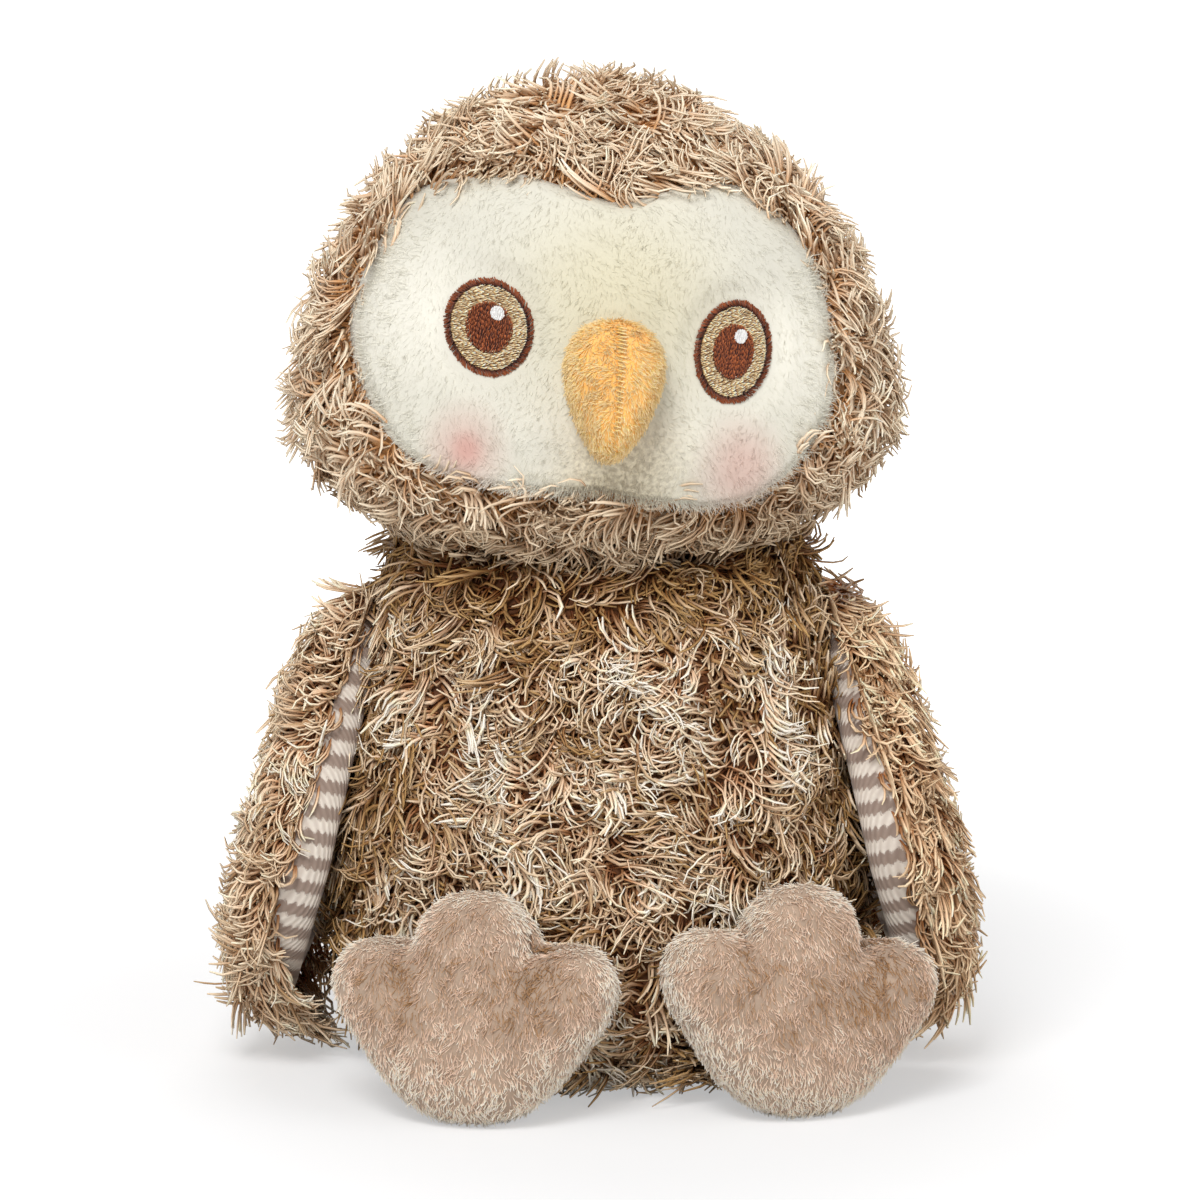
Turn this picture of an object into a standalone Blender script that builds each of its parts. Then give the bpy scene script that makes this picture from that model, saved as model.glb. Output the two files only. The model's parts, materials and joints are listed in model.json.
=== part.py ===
"""Sitting plush owl: stuffed body and head, inset face, wings and feet, each its own piece.

Metres, +Z up, the front faces -Y. The origin is the middle of the flat seat.
Left and right are the owl's own, so its left wing is at +X.
"""

import math

import bmesh
import bpy
from mathutils import Matrix, Vector

# Driving sizes of the whole toy
NECK_HEIGHT = 0.112
COVER_WALL = 0.0016
GAP = 0.0003
OVERRUN = 0.15

# Body, an egg that is cut flat at the seat and at the neck
BODY_HALF_WIDTH = 0.055
BODY_HALF_DEPTH = 0.049
BODY_CENTRE_HEIGHT = 0.042
BODY_RISE_SHARE = 1.5
BODY_RISE = (NECK_HEIGHT - BODY_CENTRE_HEIGHT) * BODY_RISE_SHARE
BODY_DROP = 0.046
BODY_BASE_POWER_SHARE = 0.7
BODY_FACETS = (32, 16)

# Head, widest just over the neck
HEAD_HALF_WIDTH = 0.0605
HEAD_HALF_DEPTH = 0.054
HEAD_CENTRE_ABOVE_NECK = 0.025
HEAD_OFF_CENTRE = -0.0015
HEAD_RISE = 0.070
HEAD_DROP = 0.034
HEAD_FACETS = (36, 20)

# Face frame: it is turned a little to the owl's left and tilted with the head
FACE_ABOVE_HEAD_CENTRE = 0.024
FACE_YAW = math.radians(5)
FACE_ROLL = math.radians(6.2)
MASK_HALF_WIDTH = 0.0490
MASK_HALF_HEIGHT = 0.0320
MASK_OUTLINE_SHARES = [
    (0.95, 0.02), (0.82, 0.60), (0.52, 0.97), (0.22, 0.97), (0.00, 0.86),
    (-0.235, 0.91), (-0.48, 0.92), (-0.83, 0.67), (-1.03, -0.06), (-0.95, -0.56),
    (-0.77, -0.86), (-0.45, -0.94), (0.00, -0.90), (0.47, -0.94), (0.73, -0.81), (0.94, -0.39),
]
MASK_CURVE_STEPS = 3

# Embroidered eyes, thread laid on the mask
EYE_SPREAD = 0.0252
EYE_RAISE = 0.0014
EYE_HALF_WIDTH = 0.0092
EYE_HALF_HEIGHT = 0.0108
RIM_WIDTH = 0.0016
PUPIL_HALF_WIDTH = 0.0049
PUPIL_HALF_HEIGHT = 0.0053
HIGHLIGHT_RADIUS = 0.0014
HIGHLIGHT_ASIDE = 0.0016
HIGHLIGHT_RAISE = 0.0029
THREAD_RISE = 0.0008
EYE_SIDES = 24

# Beak, sewn from two halves along a middle seam
BEAK_HALF_WIDTH = 0.0092
BEAK_HALF_HEIGHT = 0.0142
BEAK_REACH = 0.0165
BEAK_BELOW_FACE = 0.0075
BEAK_TAPER_SHARE = 0.38
BEAK_HOOK_SHARE = 0.30
BEAK_WALL = 0.0012
BEAK_FACETS = (16, 10)

# Wings, flat inside and domed outside, hinged along their tops
WING_HINGE_HEIGHT = 0.101
WING_SET_BACK = 0.003
WING_HALF_LENGTH = 0.0475
WING_HALF_CHORD = 0.031
WING_TAPER_SHARE = 0.22
WING_DOME = 0.0115
WING_EDGE_POWER_SHARE = 0.62
WING_LEAN = math.radians(15)
WING_FLARE = math.radians(10)
LINING_THICK = 0.0012
WING_FACETS = (28, 12)

# Feet, three-toed pads that stand on their heels with the soles to the front
FOOT_HALF_WIDTH = 0.0303
FOOT_OUTLINE_SHARES = [
    0.95, 1.02, 0.93, 0.68, 0.74, 0.81, 0.83, 0.81, 0.74, 0.68, 0.93, 1.02,
    0.95, 0.84, 0.79, 0.78, 0.78, 0.78, 0.78, 0.78, 0.78, 0.78, 0.79, 0.84,
]
FOOT_HALF_THICK = 0.0118
FOOT_EDGE_POWER_SHARE = 0.55
FOOT_LEAN = math.radians(12)
FOOT_SPLAY = math.radians(6)
FOOT_STAND_OFF = 0.0100
FOOT_FLOOR_CLEARANCE = 0.0003
HEEL_FLAT = 0.0005
LEFT_FOOT_ASIDE = 0.0372
RIGHT_FOOT_ASIDE = 0.0235
LEFT_FOOT_YAW = math.radians(22)
RIGHT_FOOT_YAW = math.radians(14)
FOOT_FACETS = (32, 9)

FUR_TAN = (0.42, 0.31, 0.21, 1)
FACE_CREAM = (0.80, 0.74, 0.63, 1)
BEAK_ORANGE = (0.78, 0.45, 0.13, 1)
FOOT_TAUPE = (0.45, 0.34, 0.25, 1)
LINING_GREY = (0.36, 0.31, 0.28, 1)
STUFFING_WHITE = (0.85, 0.85, 0.83, 1)
RIM_BROWN = (0.09, 0.035, 0.02, 1)
IRIS_TAN = (0.45, 0.32, 0.15, 1)
PUPIL_BROWN = (0.10, 0.018, 0.006, 1)
HIGHLIGHT_WHITE = (0.9, 0.9, 0.88, 1)
FABRIC_ROUGHNESS = 0.95
THREAD_ROUGHNESS = 0.55


def clear_scene():
    for old in list(bpy.data.objects):
        bpy.data.objects.remove(old, do_unlink=True)


def new_collection(name):
    collection = bpy.data.collections.new(name)
    bpy.context.scene.collection.children.link(collection)
    return collection


def material(name, colour, roughness):
    made = bpy.data.materials.new(name)
    made.use_nodes = True
    shader = made.node_tree.nodes["Principled BSDF"]
    shader.inputs["Base Color"].default_value = colour
    shader.inputs["Roughness"].default_value = roughness
    shader.inputs["Metallic"].default_value = 0
    return made


def add_mesh(bm, name, collection, finish=None):
    """Turns a finished bmesh into an object, shaded smooth, with its place in its mesh."""
    mesh = bpy.data.meshes.new(name)
    bmesh.ops.recalc_face_normals(bm, faces=bm.faces)
    bm.to_mesh(mesh)
    bm.free()
    mesh.shade_smooth()
    made = bpy.data.objects.new(name, mesh)
    collection.objects.link(made)
    if finish:
        mesh.materials.append(finish)
    else:
        made.hide_render = True
        made.display_type = "WIRE"
    return made


def form(name, facets, point, inset, collection, finish=None):
    """A unit sphere whose every vertex is moved by point(unit, inset)."""
    bm = bmesh.new()
    bmesh.ops.create_uvsphere(bm, u_segments=facets[0], v_segments=facets[1], radius=1)
    for vert in bm.verts:
        vert.co = point(vert.co.copy(), inset)
    return add_mesh(bm, name, collection, finish)


def slab(name, frame, collection):
    """A large block that fills the space over the local XY plane of frame."""
    bm = bmesh.new()
    lift = Matrix.Translation((0, 0, OVERRUN / 2))
    bmesh.ops.create_cube(bm, size=OVERRUN, matrix=frame @ lift)
    return add_mesh(bm, name, collection)


def tall_slab(name, frame, collection):
    """A slab that is wide enough to clear the head or the body."""
    bm = bmesh.new()
    lift = Matrix.Translation((0, 0, OVERRUN))
    bmesh.ops.create_cube(bm, size=2 * OVERRUN, matrix=frame @ lift)
    return add_mesh(bm, name, collection)


def ellipse_prism(name, half_width, half_height, frame, collection):
    """An elliptical bar along the local -Y of frame, from its origin forwards."""
    bm = bmesh.new()
    scale = Matrix.Diagonal((half_width, half_height, OVERRUN, 1))
    stand = Matrix.Rotation(math.radians(90), 4, "X") @ Matrix.Translation((0, 0, OVERRUN / 2))
    bmesh.ops.create_cone(
        bm, cap_ends=True, segments=EYE_SIDES, radius1=1, radius2=1, depth=1,
        matrix=frame @ stand @ scale,
    )
    return add_mesh(bm, name, collection)


def outline_prism(name, points, frame, collection):
    """A smooth closed outline in the local XZ plane of frame, drawn out along its -Y."""
    curve = bpy.data.curves.new(name, "CURVE")
    curve.dimensions = "2D"
    curve.fill_mode = "BOTH"
    curve.extrude = OVERRUN / 2
    curve.resolution_u = MASK_CURVE_STEPS
    spline = curve.splines.new("BEZIER")
    spline.use_cyclic_u = True
    spline.bezier_points.add(len(points) - 1)
    for place, knot in zip(points, spline.bezier_points):
        knot.co = (place[0], place[1], 0)
        knot.handle_left_type = "AUTO"
        knot.handle_right_type = "AUTO"
    drawn = bpy.data.objects.new(name, curve)
    bpy.context.scene.collection.objects.link(drawn)
    stand = Matrix.Rotation(math.radians(90), 4, "X") @ Matrix.Translation((0, 0, OVERRUN / 2))
    bpy.context.view_layer.update()
    solid = bpy.data.meshes.new_from_object(drawn.evaluated_get(bpy.context.evaluated_depsgraph_get()))
    bpy.data.objects.remove(drawn, do_unlink=True)
    bm = bmesh.new()
    bm.from_mesh(solid)
    bpy.data.meshes.remove(solid)
    bmesh.ops.remove_doubles(bm, verts=bm.verts, dist=GAP / 10)
    bmesh.ops.transform(bm, matrix=frame @ stand, verts=bm.verts)
    return add_mesh(bm, name, collection)


def boolean(piece, cutter, operation):
    step = piece.modifiers.new(f"{operation.lower()}_{cutter.name}", "BOOLEAN")
    step.operation = operation
    step.solver = "EXACT"
    step.object = cutter


def cut(piece, *cutters):
    for cutter in cutters:
        boolean(piece, cutter, "DIFFERENCE")


def keep(piece, cutter):
    boolean(piece, cutter, "INTERSECT")


def pivot(name, place, axis, collection):
    """An empty on a joint's axis, with its local Z along the axis."""
    made = bpy.data.objects.new(name, None)
    made.empty_display_size = COVER_WALL
    made.matrix_world = Matrix.Translation(place) @ axis.to_track_quat("Z", "Y").to_matrix().to_4x4()
    collection.objects.link(made)
    return made


def hang_on(joint, *pieces):
    bpy.context.view_layer.update()
    for piece in pieces:
        piece.parent = joint
        piece.matrix_parent_inverse = joint.matrix_world.inverted()


def signed_power(share, power):
    return math.copysign(abs(share) ** power, share)


def body_point(unit, inset):
    power = BODY_BASE_POWER_SHARE if unit.z < 0 else 1
    reach = BODY_DROP if unit.z < 0 else BODY_RISE
    round_share = math.hypot(unit.x, unit.y)
    swell = signed_power(round_share, power) / round_share if round_share > 0 else 0
    return Vector((
        (BODY_HALF_WIDTH - inset) * unit.x * swell,
        (BODY_HALF_DEPTH - inset) * unit.y * swell,
        BODY_CENTRE_HEIGHT + (reach - inset) * signed_power(unit.z, power),
    ))


def head_point(unit, inset):
    reach = HEAD_DROP if unit.z < 0 else HEAD_RISE
    return Vector((
        HEAD_OFF_CENTRE + (HEAD_HALF_WIDTH - inset) * unit.x,
        (HEAD_HALF_DEPTH - inset) * unit.y,
        NECK_HEIGHT + HEAD_CENTRE_ABOVE_NECK + (reach - inset) * unit.z,
    ))


def face_frame():
    """The face's own frame: its XZ plane faces the front, and -Y runs out of the face."""
    centre = Vector((HEAD_OFF_CENTRE, 0, NECK_HEIGHT + HEAD_CENTRE_ABOVE_NECK + FACE_ABOVE_HEAD_CENTRE))
    turn = Matrix.Rotation(FACE_YAW, 4, "Z") @ Matrix.Rotation(FACE_ROLL, 4, "Y")
    return Matrix.Translation(centre) @ turn


def face_depth(aside, above):
    """How far the head's skin stands in front of the face frame's origin at a place on the face."""
    flat = 1 - (aside / HEAD_HALF_WIDTH) ** 2 - ((FACE_ABOVE_HEAD_CENTRE + above) / HEAD_RISE) ** 2
    return HEAD_HALF_DEPTH * math.sqrt(max(flat, 0))


def pad_point(frame, outline, front, back, power):
    """A point rule for a pad: its outline lies in the local XY plane, its faces bulge along Z."""
    def point(unit, inset):
        round_share = math.hypot(unit.x, unit.y)
        edge = outline(math.atan2(unit.y, unit.x))
        edge = edge * (1 - inset / edge.length)
        spread = signed_power(round_share, power)
        bulge = (front if unit.z > 0 else back) - inset
        return frame @ Vector((edge.x * spread, edge.y * spread, bulge * unit.z))
    return point


def body_reach(normal):
    """How far the body's skin reaches from the origin along normal."""
    bm = bmesh.new()
    bmesh.ops.create_uvsphere(bm, u_segments=BODY_FACETS[0], v_segments=BODY_FACETS[1], radius=1)
    reach = max(body_point(vert.co, 0).dot(normal) for vert in bm.verts)
    bm.free()
    return reach


def make_body(parts, cutters, fur, stuffing):
    below = Matrix.Rotation(math.radians(180), 4, "X")
    floor = tall_slab("cut_floor", below, cutters)
    inner_floor = tall_slab("cut_inner_floor", Matrix.Translation((0, 0, COVER_WALL)) @ below, cutters)
    fill_base = Matrix.Translation((0, 0, COVER_WALL + GAP)) @ below
    fill_floor = tall_slab("cut_fill_floor", fill_base, cutters)
    over = tall_slab("cut_over_neck", Matrix.Translation((0, 0, NECK_HEIGHT - GAP / 2)), cutters)
    hollow = form("cut_body_hollow", BODY_FACETS, body_point, COVER_WALL, cutters)
    cut(hollow, inner_floor)
    cover = form("body_cover", BODY_FACETS, body_point, 0, parts, fur)
    cut(cover, hollow, floor, over)
    fill = form("body_stuffing", BODY_FACETS, body_point, COVER_WALL + GAP, parts, stuffing)
    cut(fill, fill_floor, over)


def make_head(parts, cutters, fur, cream, stuffing):
    below = Matrix.Rotation(math.radians(180), 4, "X")
    under = tall_slab("cut_under_neck", Matrix.Translation((0, 0, NECK_HEIGHT + GAP / 2)) @ below, cutters)
    hollow = form("cut_head_hollow", HEAD_FACETS, head_point, COVER_WALL, cutters)
    window_points = [(x * MASK_HALF_WIDTH, z * MASK_HALF_HEIGHT) for x, z in MASK_OUTLINE_SHARES]
    mask_points = [
        (x * (MASK_HALF_WIDTH - GAP), z * (MASK_HALF_HEIGHT - GAP)) for x, z in MASK_OUTLINE_SHARES
    ]
    window = outline_prism("cut_mask_window", window_points, face_frame(), cutters)
    mask_shape = outline_prism("cut_mask_shape", mask_points, face_frame(), cutters)
    cover = form("head_cover", HEAD_FACETS, head_point, 0, parts, fur)
    cut(cover, hollow, under, window)
    fill = form("head_stuffing", HEAD_FACETS, head_point, COVER_WALL + GAP, parts, stuffing)
    cut(fill, under)
    mask = form("face_mask", HEAD_FACETS, head_point, 0, parts, cream)
    keep(mask, mask_shape)
    cut(mask, hollow)
    return [cover, fill, mask]


def make_eye(side_name, side, parts, cutters, finishes):
    """Rim, iris, pupil and highlight of one eye, thread fills that lie edge to edge on the mask."""
    eye_frame = face_frame() @ Matrix.Translation((side * EYE_SPREAD, 0, EYE_RAISE))
    light_place = (HIGHLIGHT_ASIDE, 0, HIGHLIGHT_RAISE)
    light_frame = eye_frame @ Matrix.Translation(light_place)
    iris_width = EYE_HALF_WIDTH - RIM_WIDTH
    iris_height = EYE_HALF_HEIGHT - RIM_WIDTH
    fills = [
        ("eye_rim", EYE_HALF_WIDTH, EYE_HALF_HEIGHT, eye_frame),
        ("eye_iris", iris_width, iris_height, eye_frame),
        ("eye_pupil", PUPIL_HALF_WIDTH, PUPIL_HALF_HEIGHT, eye_frame),
        ("eye_highlight", HIGHLIGHT_RADIUS, HIGHLIGHT_RADIUS, light_frame),
    ]
    under = bpy.data.objects["cut_eye_under"]
    made = []
    for number, (label, half_width, half_height, frame) in enumerate(fills):
        name = f"{side_name}_{label}"
        outer = ellipse_prism(f"cut_{name}", half_width, half_height, frame, cutters)
        piece = form(name, HEAD_FACETS, head_point, -GAP - THREAD_RISE, parts, finishes[label])
        keep(piece, outer)
        cut(piece, under)
        if number + 1 < len(fills):
            _, next_width, next_height, next_frame = fills[number + 1]
            inner = ellipse_prism(
                f"cut_{name}_inside", next_width + GAP, next_height + GAP, next_frame, cutters
            )
            cut(piece, inner)
        made.append(piece)
    return made


def make_beak(parts, cutters, orange, stuffing):
    depth = face_depth(0, -BEAK_BELOW_FACE)
    frame = face_frame() @ Matrix.Translation((0, -depth, -BEAK_BELOW_FACE))

    def beak_point(unit, inset):
        widen = 1 + BEAK_TAPER_SHARE * unit.z
        jut = 1 - BEAK_HOOK_SHARE * unit.z
        return frame @ Vector((
            (BEAK_HALF_WIDTH - inset) * unit.x * widen,
            (BEAK_REACH - inset) * unit.y * jut,
            (BEAK_HALF_HEIGHT - inset) * unit.z,
        ))

    face = form("cut_face_skin", HEAD_FACETS, head_point, -GAP, cutters)
    hollow = form("cut_beak_hollow", BEAK_FACETS, beak_point, BEAK_WALL, cutters)
    made = []
    for side_name, side in (("right", -1), ("left", 1)):
        seam = frame @ Matrix.Translation((side * GAP / 2, 0, 0))
        away = slab(f"cut_beak_{side_name}", seam @ Matrix.Rotation(-side * math.radians(90), 4, "Y"), cutters)
        panel = form(f"beak_{side_name}_panel", BEAK_FACETS, beak_point, 0, parts, orange)
        cut(panel, away, face, hollow)
        made.append(panel)
    fill = form("beak_stuffing", BEAK_FACETS, beak_point, BEAK_WALL + GAP, parts, stuffing)
    cut(fill, face)
    made.append(fill)
    return made


def wing_outline(angle):
    """A leaf: wider towards its lower end."""
    across = WING_HALF_CHORD * math.cos(angle) * (1 - WING_TAPER_SHARE * math.sin(angle))
    return Vector((across, WING_HALF_LENGTH * math.sin(angle)))


def make_wing(side_name, side, parts, cutters, fur, lining_finish, stuffing):
    """One wing on a plane that just clears the body, hinged along its top edge."""
    turn = Matrix.Rotation(side * WING_FLARE, 4, "Z") @ Matrix.Rotation(-side * WING_LEAN, 4, "Y")
    face = Matrix(((0, 0, side, 0), (side, 0, 0, 0), (0, 1, 0, 0), (0, 0, 0, 1)))
    basis = turn @ face
    normal = basis.col[2].to_3d()
    reach = body_reach(normal) + GAP
    level = reach - normal.y * WING_SET_BACK - normal.z * WING_HINGE_HEIGHT
    hinge = Vector((level / normal.x, WING_SET_BACK, WING_HINGE_HEIGHT))
    frame = Matrix.Translation(hinge) @ basis @ Matrix.Translation((0, -WING_HALF_LENGTH, 0))
    point = pad_point(frame, wing_outline, WING_DOME, WING_DOME, WING_EDGE_POWER_SHARE)
    inside = slab(f"cut_{side_name}_wing_inside", frame @ Matrix.Rotation(math.radians(180), 4, "X"), cutters)
    lined = frame @ Matrix.Translation((0, 0, LINING_THICK))
    beyond_lining = slab(f"cut_{side_name}_wing_beyond", lined, cutters)
    to_cover = lined @ Matrix.Translation((0, 0, GAP)) @ Matrix.Rotation(math.radians(180), 4, "X")
    under_cover = slab(f"cut_{side_name}_wing_under", to_cover, cutters)
    hollow = form(f"cut_{side_name}_wing_hollow", WING_FACETS, point, COVER_WALL, cutters)
    lining = form(f"{side_name}_wing_lining", WING_FACETS, point, 0, parts, lining_finish)
    cut(lining, inside, beyond_lining)
    cover = form(f"{side_name}_wing_cover", WING_FACETS, point, 0, parts, fur)
    cut(cover, under_cover, hollow)
    batting = form(f"{side_name}_wing_batting", WING_FACETS, point, COVER_WALL + GAP, parts, stuffing)
    cut(batting, under_cover)
    joint = pivot(f"{side_name}_wing_hinge", hinge, -basis.col[0].to_3d(), parts)
    hang_on(joint, lining, cover, batting)


def foot_outline(angle):
    """Three toes and a heel: a smooth closed curve through the outline's shares."""
    count = len(FOOT_OUTLINE_SHARES)
    place = (angle / math.tau * count) % count
    start = int(place)
    part = place - start
    before, here, after, last = (FOOT_OUTLINE_SHARES[(start + k) % count] for k in (-1, 0, 1, 2))
    rise = (after - before) / 2
    fall = (last - here) / 2
    bend = 2 * here - 2 * after + rise + fall
    share = here + part * (rise + part * (3 * (after - here) - 2 * rise - fall + part * bend))
    return Vector((math.cos(angle), math.sin(angle))) * FOOT_HALF_WIDTH * share


def make_foot(side_name, aside, yaw, splay, parts, cutters, velvet, sole_finish, stuffing):
    """One foot: its back lies on a plane that just clears the body, and its heel on the floor."""
    outward = Vector((math.sin(yaw), -math.cos(yaw), 0))
    along = Vector((math.cos(yaw), math.sin(yaw), 0))
    reach = body_reach(outward) + GAP
    slide = (aside - reach * outward.x) / along.x
    hinge = outward * reach + along * slide + Vector((0, 0, FOOT_FLOOR_CLEARANCE))
    basis = Matrix.Rotation(yaw, 4, "Z") @ Matrix.Rotation(math.radians(90) - FOOT_LEAN, 4, "X")
    basis = basis @ Matrix.Rotation(splay, 4, "Z")
    heel = -foot_outline(math.radians(270)).y * math.cos(FOOT_LEAN)
    centre = hinge + outward * FOOT_STAND_OFF + Vector((0, 0, heel - HEEL_FLAT))
    frame = Matrix.Translation(centre) @ basis
    point = pad_point(frame, foot_outline, FOOT_HALF_THICK, FOOT_HALF_THICK, FOOT_EDGE_POWER_SHARE)
    split = Matrix.Translation((0, 0, GAP / 2))
    turned = Matrix.Rotation(math.radians(180), 4, "X")
    before = slab(f"cut_{side_name}_foot_before", frame @ split.inverted(), cutters)
    behind = slab(f"cut_{side_name}_foot_behind", frame @ split @ turned, cutters)
    away = Matrix.Translation(hinge) @ Matrix.Rotation(yaw, 4, "Z") @ Matrix.Rotation(math.radians(-90), 4, "X")
    body_side = slab(f"cut_{side_name}_foot_body", away, cutters)
    floor = slab(f"cut_{side_name}_foot_floor", Matrix.Translation(hinge) @ turned, cutters)
    hollow = form(f"cut_{side_name}_foot_hollow", FOOT_FACETS, point, COVER_WALL, cutters)
    sole = form(f"{side_name}_foot_sole", FOOT_FACETS, point, 0, parts, sole_finish)
    cut(sole, behind, hollow)
    upper = form(f"{side_name}_foot_upper", FOOT_FACETS, point, 0, parts, velvet)
    cut(upper, before, hollow, body_side, floor)
    fill = form(f"{side_name}_foot_stuffing", FOOT_FACETS, point, COVER_WALL + GAP, parts, stuffing)
    cut(fill, body_side)
    joint = pivot(f"{side_name}_foot_hinge", hinge, along, parts)
    hang_on(joint, sole, upper, fill)


def main():
    clear_scene()
    parts = new_collection("plush_owl")
    cutters = new_collection("plush_owl_cutters")
    fur = material("fur_plush", FUR_TAN, FABRIC_ROUGHNESS)
    cream = material("cream_face_plush", FACE_CREAM, FABRIC_ROUGHNESS)
    orange = material("orange_beak_plush", BEAK_ORANGE, FABRIC_ROUGHNESS)
    velvet = material("taupe_foot_plush", FOOT_TAUPE, FABRIC_ROUGHNESS)
    jersey = material("striped_jersey", LINING_GREY, FABRIC_ROUGHNESS)
    stuffing = material("fibre_stuffing", STUFFING_WHITE, FABRIC_ROUGHNESS)
    threads = {
        "eye_rim": material("dark_brown_thread", RIM_BROWN, THREAD_ROUGHNESS),
        "eye_iris": material("tan_thread", IRIS_TAN, THREAD_ROUGHNESS),
        "eye_pupil": material("red_brown_thread", PUPIL_BROWN, THREAD_ROUGHNESS),
        "eye_highlight": material("white_thread", HIGHLIGHT_WHITE, THREAD_ROUGHNESS),
    }
    make_body(parts, cutters, fur, stuffing)
    head_pieces = make_head(parts, cutters, fur, cream, stuffing)
    head_pieces += make_beak(parts, cutters, orange, stuffing)
    form("cut_eye_under", HEAD_FACETS, head_point, -GAP, cutters)
    head_pieces += make_eye("right", -1, parts, cutters, threads)
    head_pieces += make_eye("left", 1, parts, cutters, threads)
    neck = pivot("neck_turn", Vector((0, 0, NECK_HEIGHT)), Vector((0, 0, 1)), parts)
    hang_on(neck, *head_pieces)
    make_wing("right", -1, parts, cutters, fur, jersey, stuffing)
    make_wing("left", 1, parts, cutters, fur, jersey, stuffing)
    make_foot(
        "right", -RIGHT_FOOT_ASIDE, -RIGHT_FOOT_YAW, FOOT_SPLAY, parts, cutters, velvet, velvet, stuffing
    )
    make_foot(
        "left", LEFT_FOOT_ASIDE, LEFT_FOOT_YAW, -FOOT_SPLAY, parts, cutters, velvet, velvet, stuffing
    )


main()
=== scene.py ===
"""Sitting plush owl: curly pile, cream face, embroidered eyes, stuffed beak, lined wings and feet.

Metres, +Z up, the front faces -Y. Left and right are the owl's own.
"""

import json
import math

import bmesh
import bpy
import numpy as np
from bpy.props import FloatProperty, FloatVectorProperty, IntProperty, PointerProperty
from mathutils import Matrix, Vector


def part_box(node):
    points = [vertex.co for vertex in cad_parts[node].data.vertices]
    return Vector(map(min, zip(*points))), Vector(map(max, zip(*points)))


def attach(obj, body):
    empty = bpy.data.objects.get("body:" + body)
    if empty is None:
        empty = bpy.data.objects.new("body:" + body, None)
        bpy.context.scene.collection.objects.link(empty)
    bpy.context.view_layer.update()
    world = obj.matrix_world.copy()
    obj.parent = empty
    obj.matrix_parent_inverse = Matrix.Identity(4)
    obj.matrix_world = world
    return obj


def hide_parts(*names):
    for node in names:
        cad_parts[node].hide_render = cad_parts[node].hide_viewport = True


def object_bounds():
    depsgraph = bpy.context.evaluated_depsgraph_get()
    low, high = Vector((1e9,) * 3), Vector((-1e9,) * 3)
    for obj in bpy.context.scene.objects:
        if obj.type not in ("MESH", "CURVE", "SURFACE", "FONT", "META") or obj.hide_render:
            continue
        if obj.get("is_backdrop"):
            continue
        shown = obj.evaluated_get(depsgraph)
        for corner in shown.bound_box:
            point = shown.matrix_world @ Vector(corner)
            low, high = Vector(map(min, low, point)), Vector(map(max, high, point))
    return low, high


bl_info = {
    "name": "Plush Owl",
    "version": (1, 0, 0),
    "blender": (4, 5, 0),
    "location": "View3D > Sidebar > Owl",
    "description": "Dresses a jointed plush owl in its pile, threads and linings",
    "category": "Add Mesh",
}

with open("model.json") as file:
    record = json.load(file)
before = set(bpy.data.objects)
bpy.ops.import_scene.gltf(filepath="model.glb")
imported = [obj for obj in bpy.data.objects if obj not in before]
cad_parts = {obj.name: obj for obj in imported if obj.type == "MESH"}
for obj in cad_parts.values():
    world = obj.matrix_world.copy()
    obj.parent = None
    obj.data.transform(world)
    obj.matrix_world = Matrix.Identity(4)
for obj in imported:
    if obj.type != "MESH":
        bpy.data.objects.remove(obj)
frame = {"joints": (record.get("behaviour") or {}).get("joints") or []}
CAD_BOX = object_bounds()
MM = 0.001
SIDES = {"left": 1, "right": -1}
SEEDS = {
    "head": 11, "face": 23, "eyes": 31, "beak": 47, "body": 59, "wings": 71, "feet": 83, "fillings": 97,
}
TRIED_PLACES = 24000
MOST_THREADS = 6000
FACE_THREADS = 15000
FRINGE_THREADS = 2800
HEEL_LOCKS = 64
EDGE_LOCKS = 260
CHIN_HEIGHT = 0.140
GROUND_GAP = 0.4 * MM
ROOT_LEVEL = -1.5 * MM
COVER_FACETS = (96, 64)
ROOT_FACETS = (120, 80)
WIDER_BEHIND = 1.15
HALVINGS = 24


# Sizes read from the frame

BODY_LOW, BODY_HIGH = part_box("body_cover")
HEAD_LOW, HEAD_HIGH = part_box("head_cover")
BODY_HALF_WIDTH = (BODY_HIGH.x - BODY_LOW.x) / 2
BODY_HALF_DEPTH = (BODY_HIGH.y - BODY_LOW.y) / 2
NECK_HEIGHT = (BODY_HIGH.z + HEAD_LOW.z) / 2
HEAD_HALF_WIDTH = (HEAD_HIGH.x - HEAD_LOW.x) / 2
HEAD_OFF_CENTRE = (HEAD_HIGH.x + HEAD_LOW.x) / 2
HEAD_HALF_DEPTH = HEAD_HIGH.y
HINGES = {joint["name"]: joint["pos_m"] for joint in frame["joints"]}

# Sizes of the covers that the frame's boxes don't give, as in the part

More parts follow.
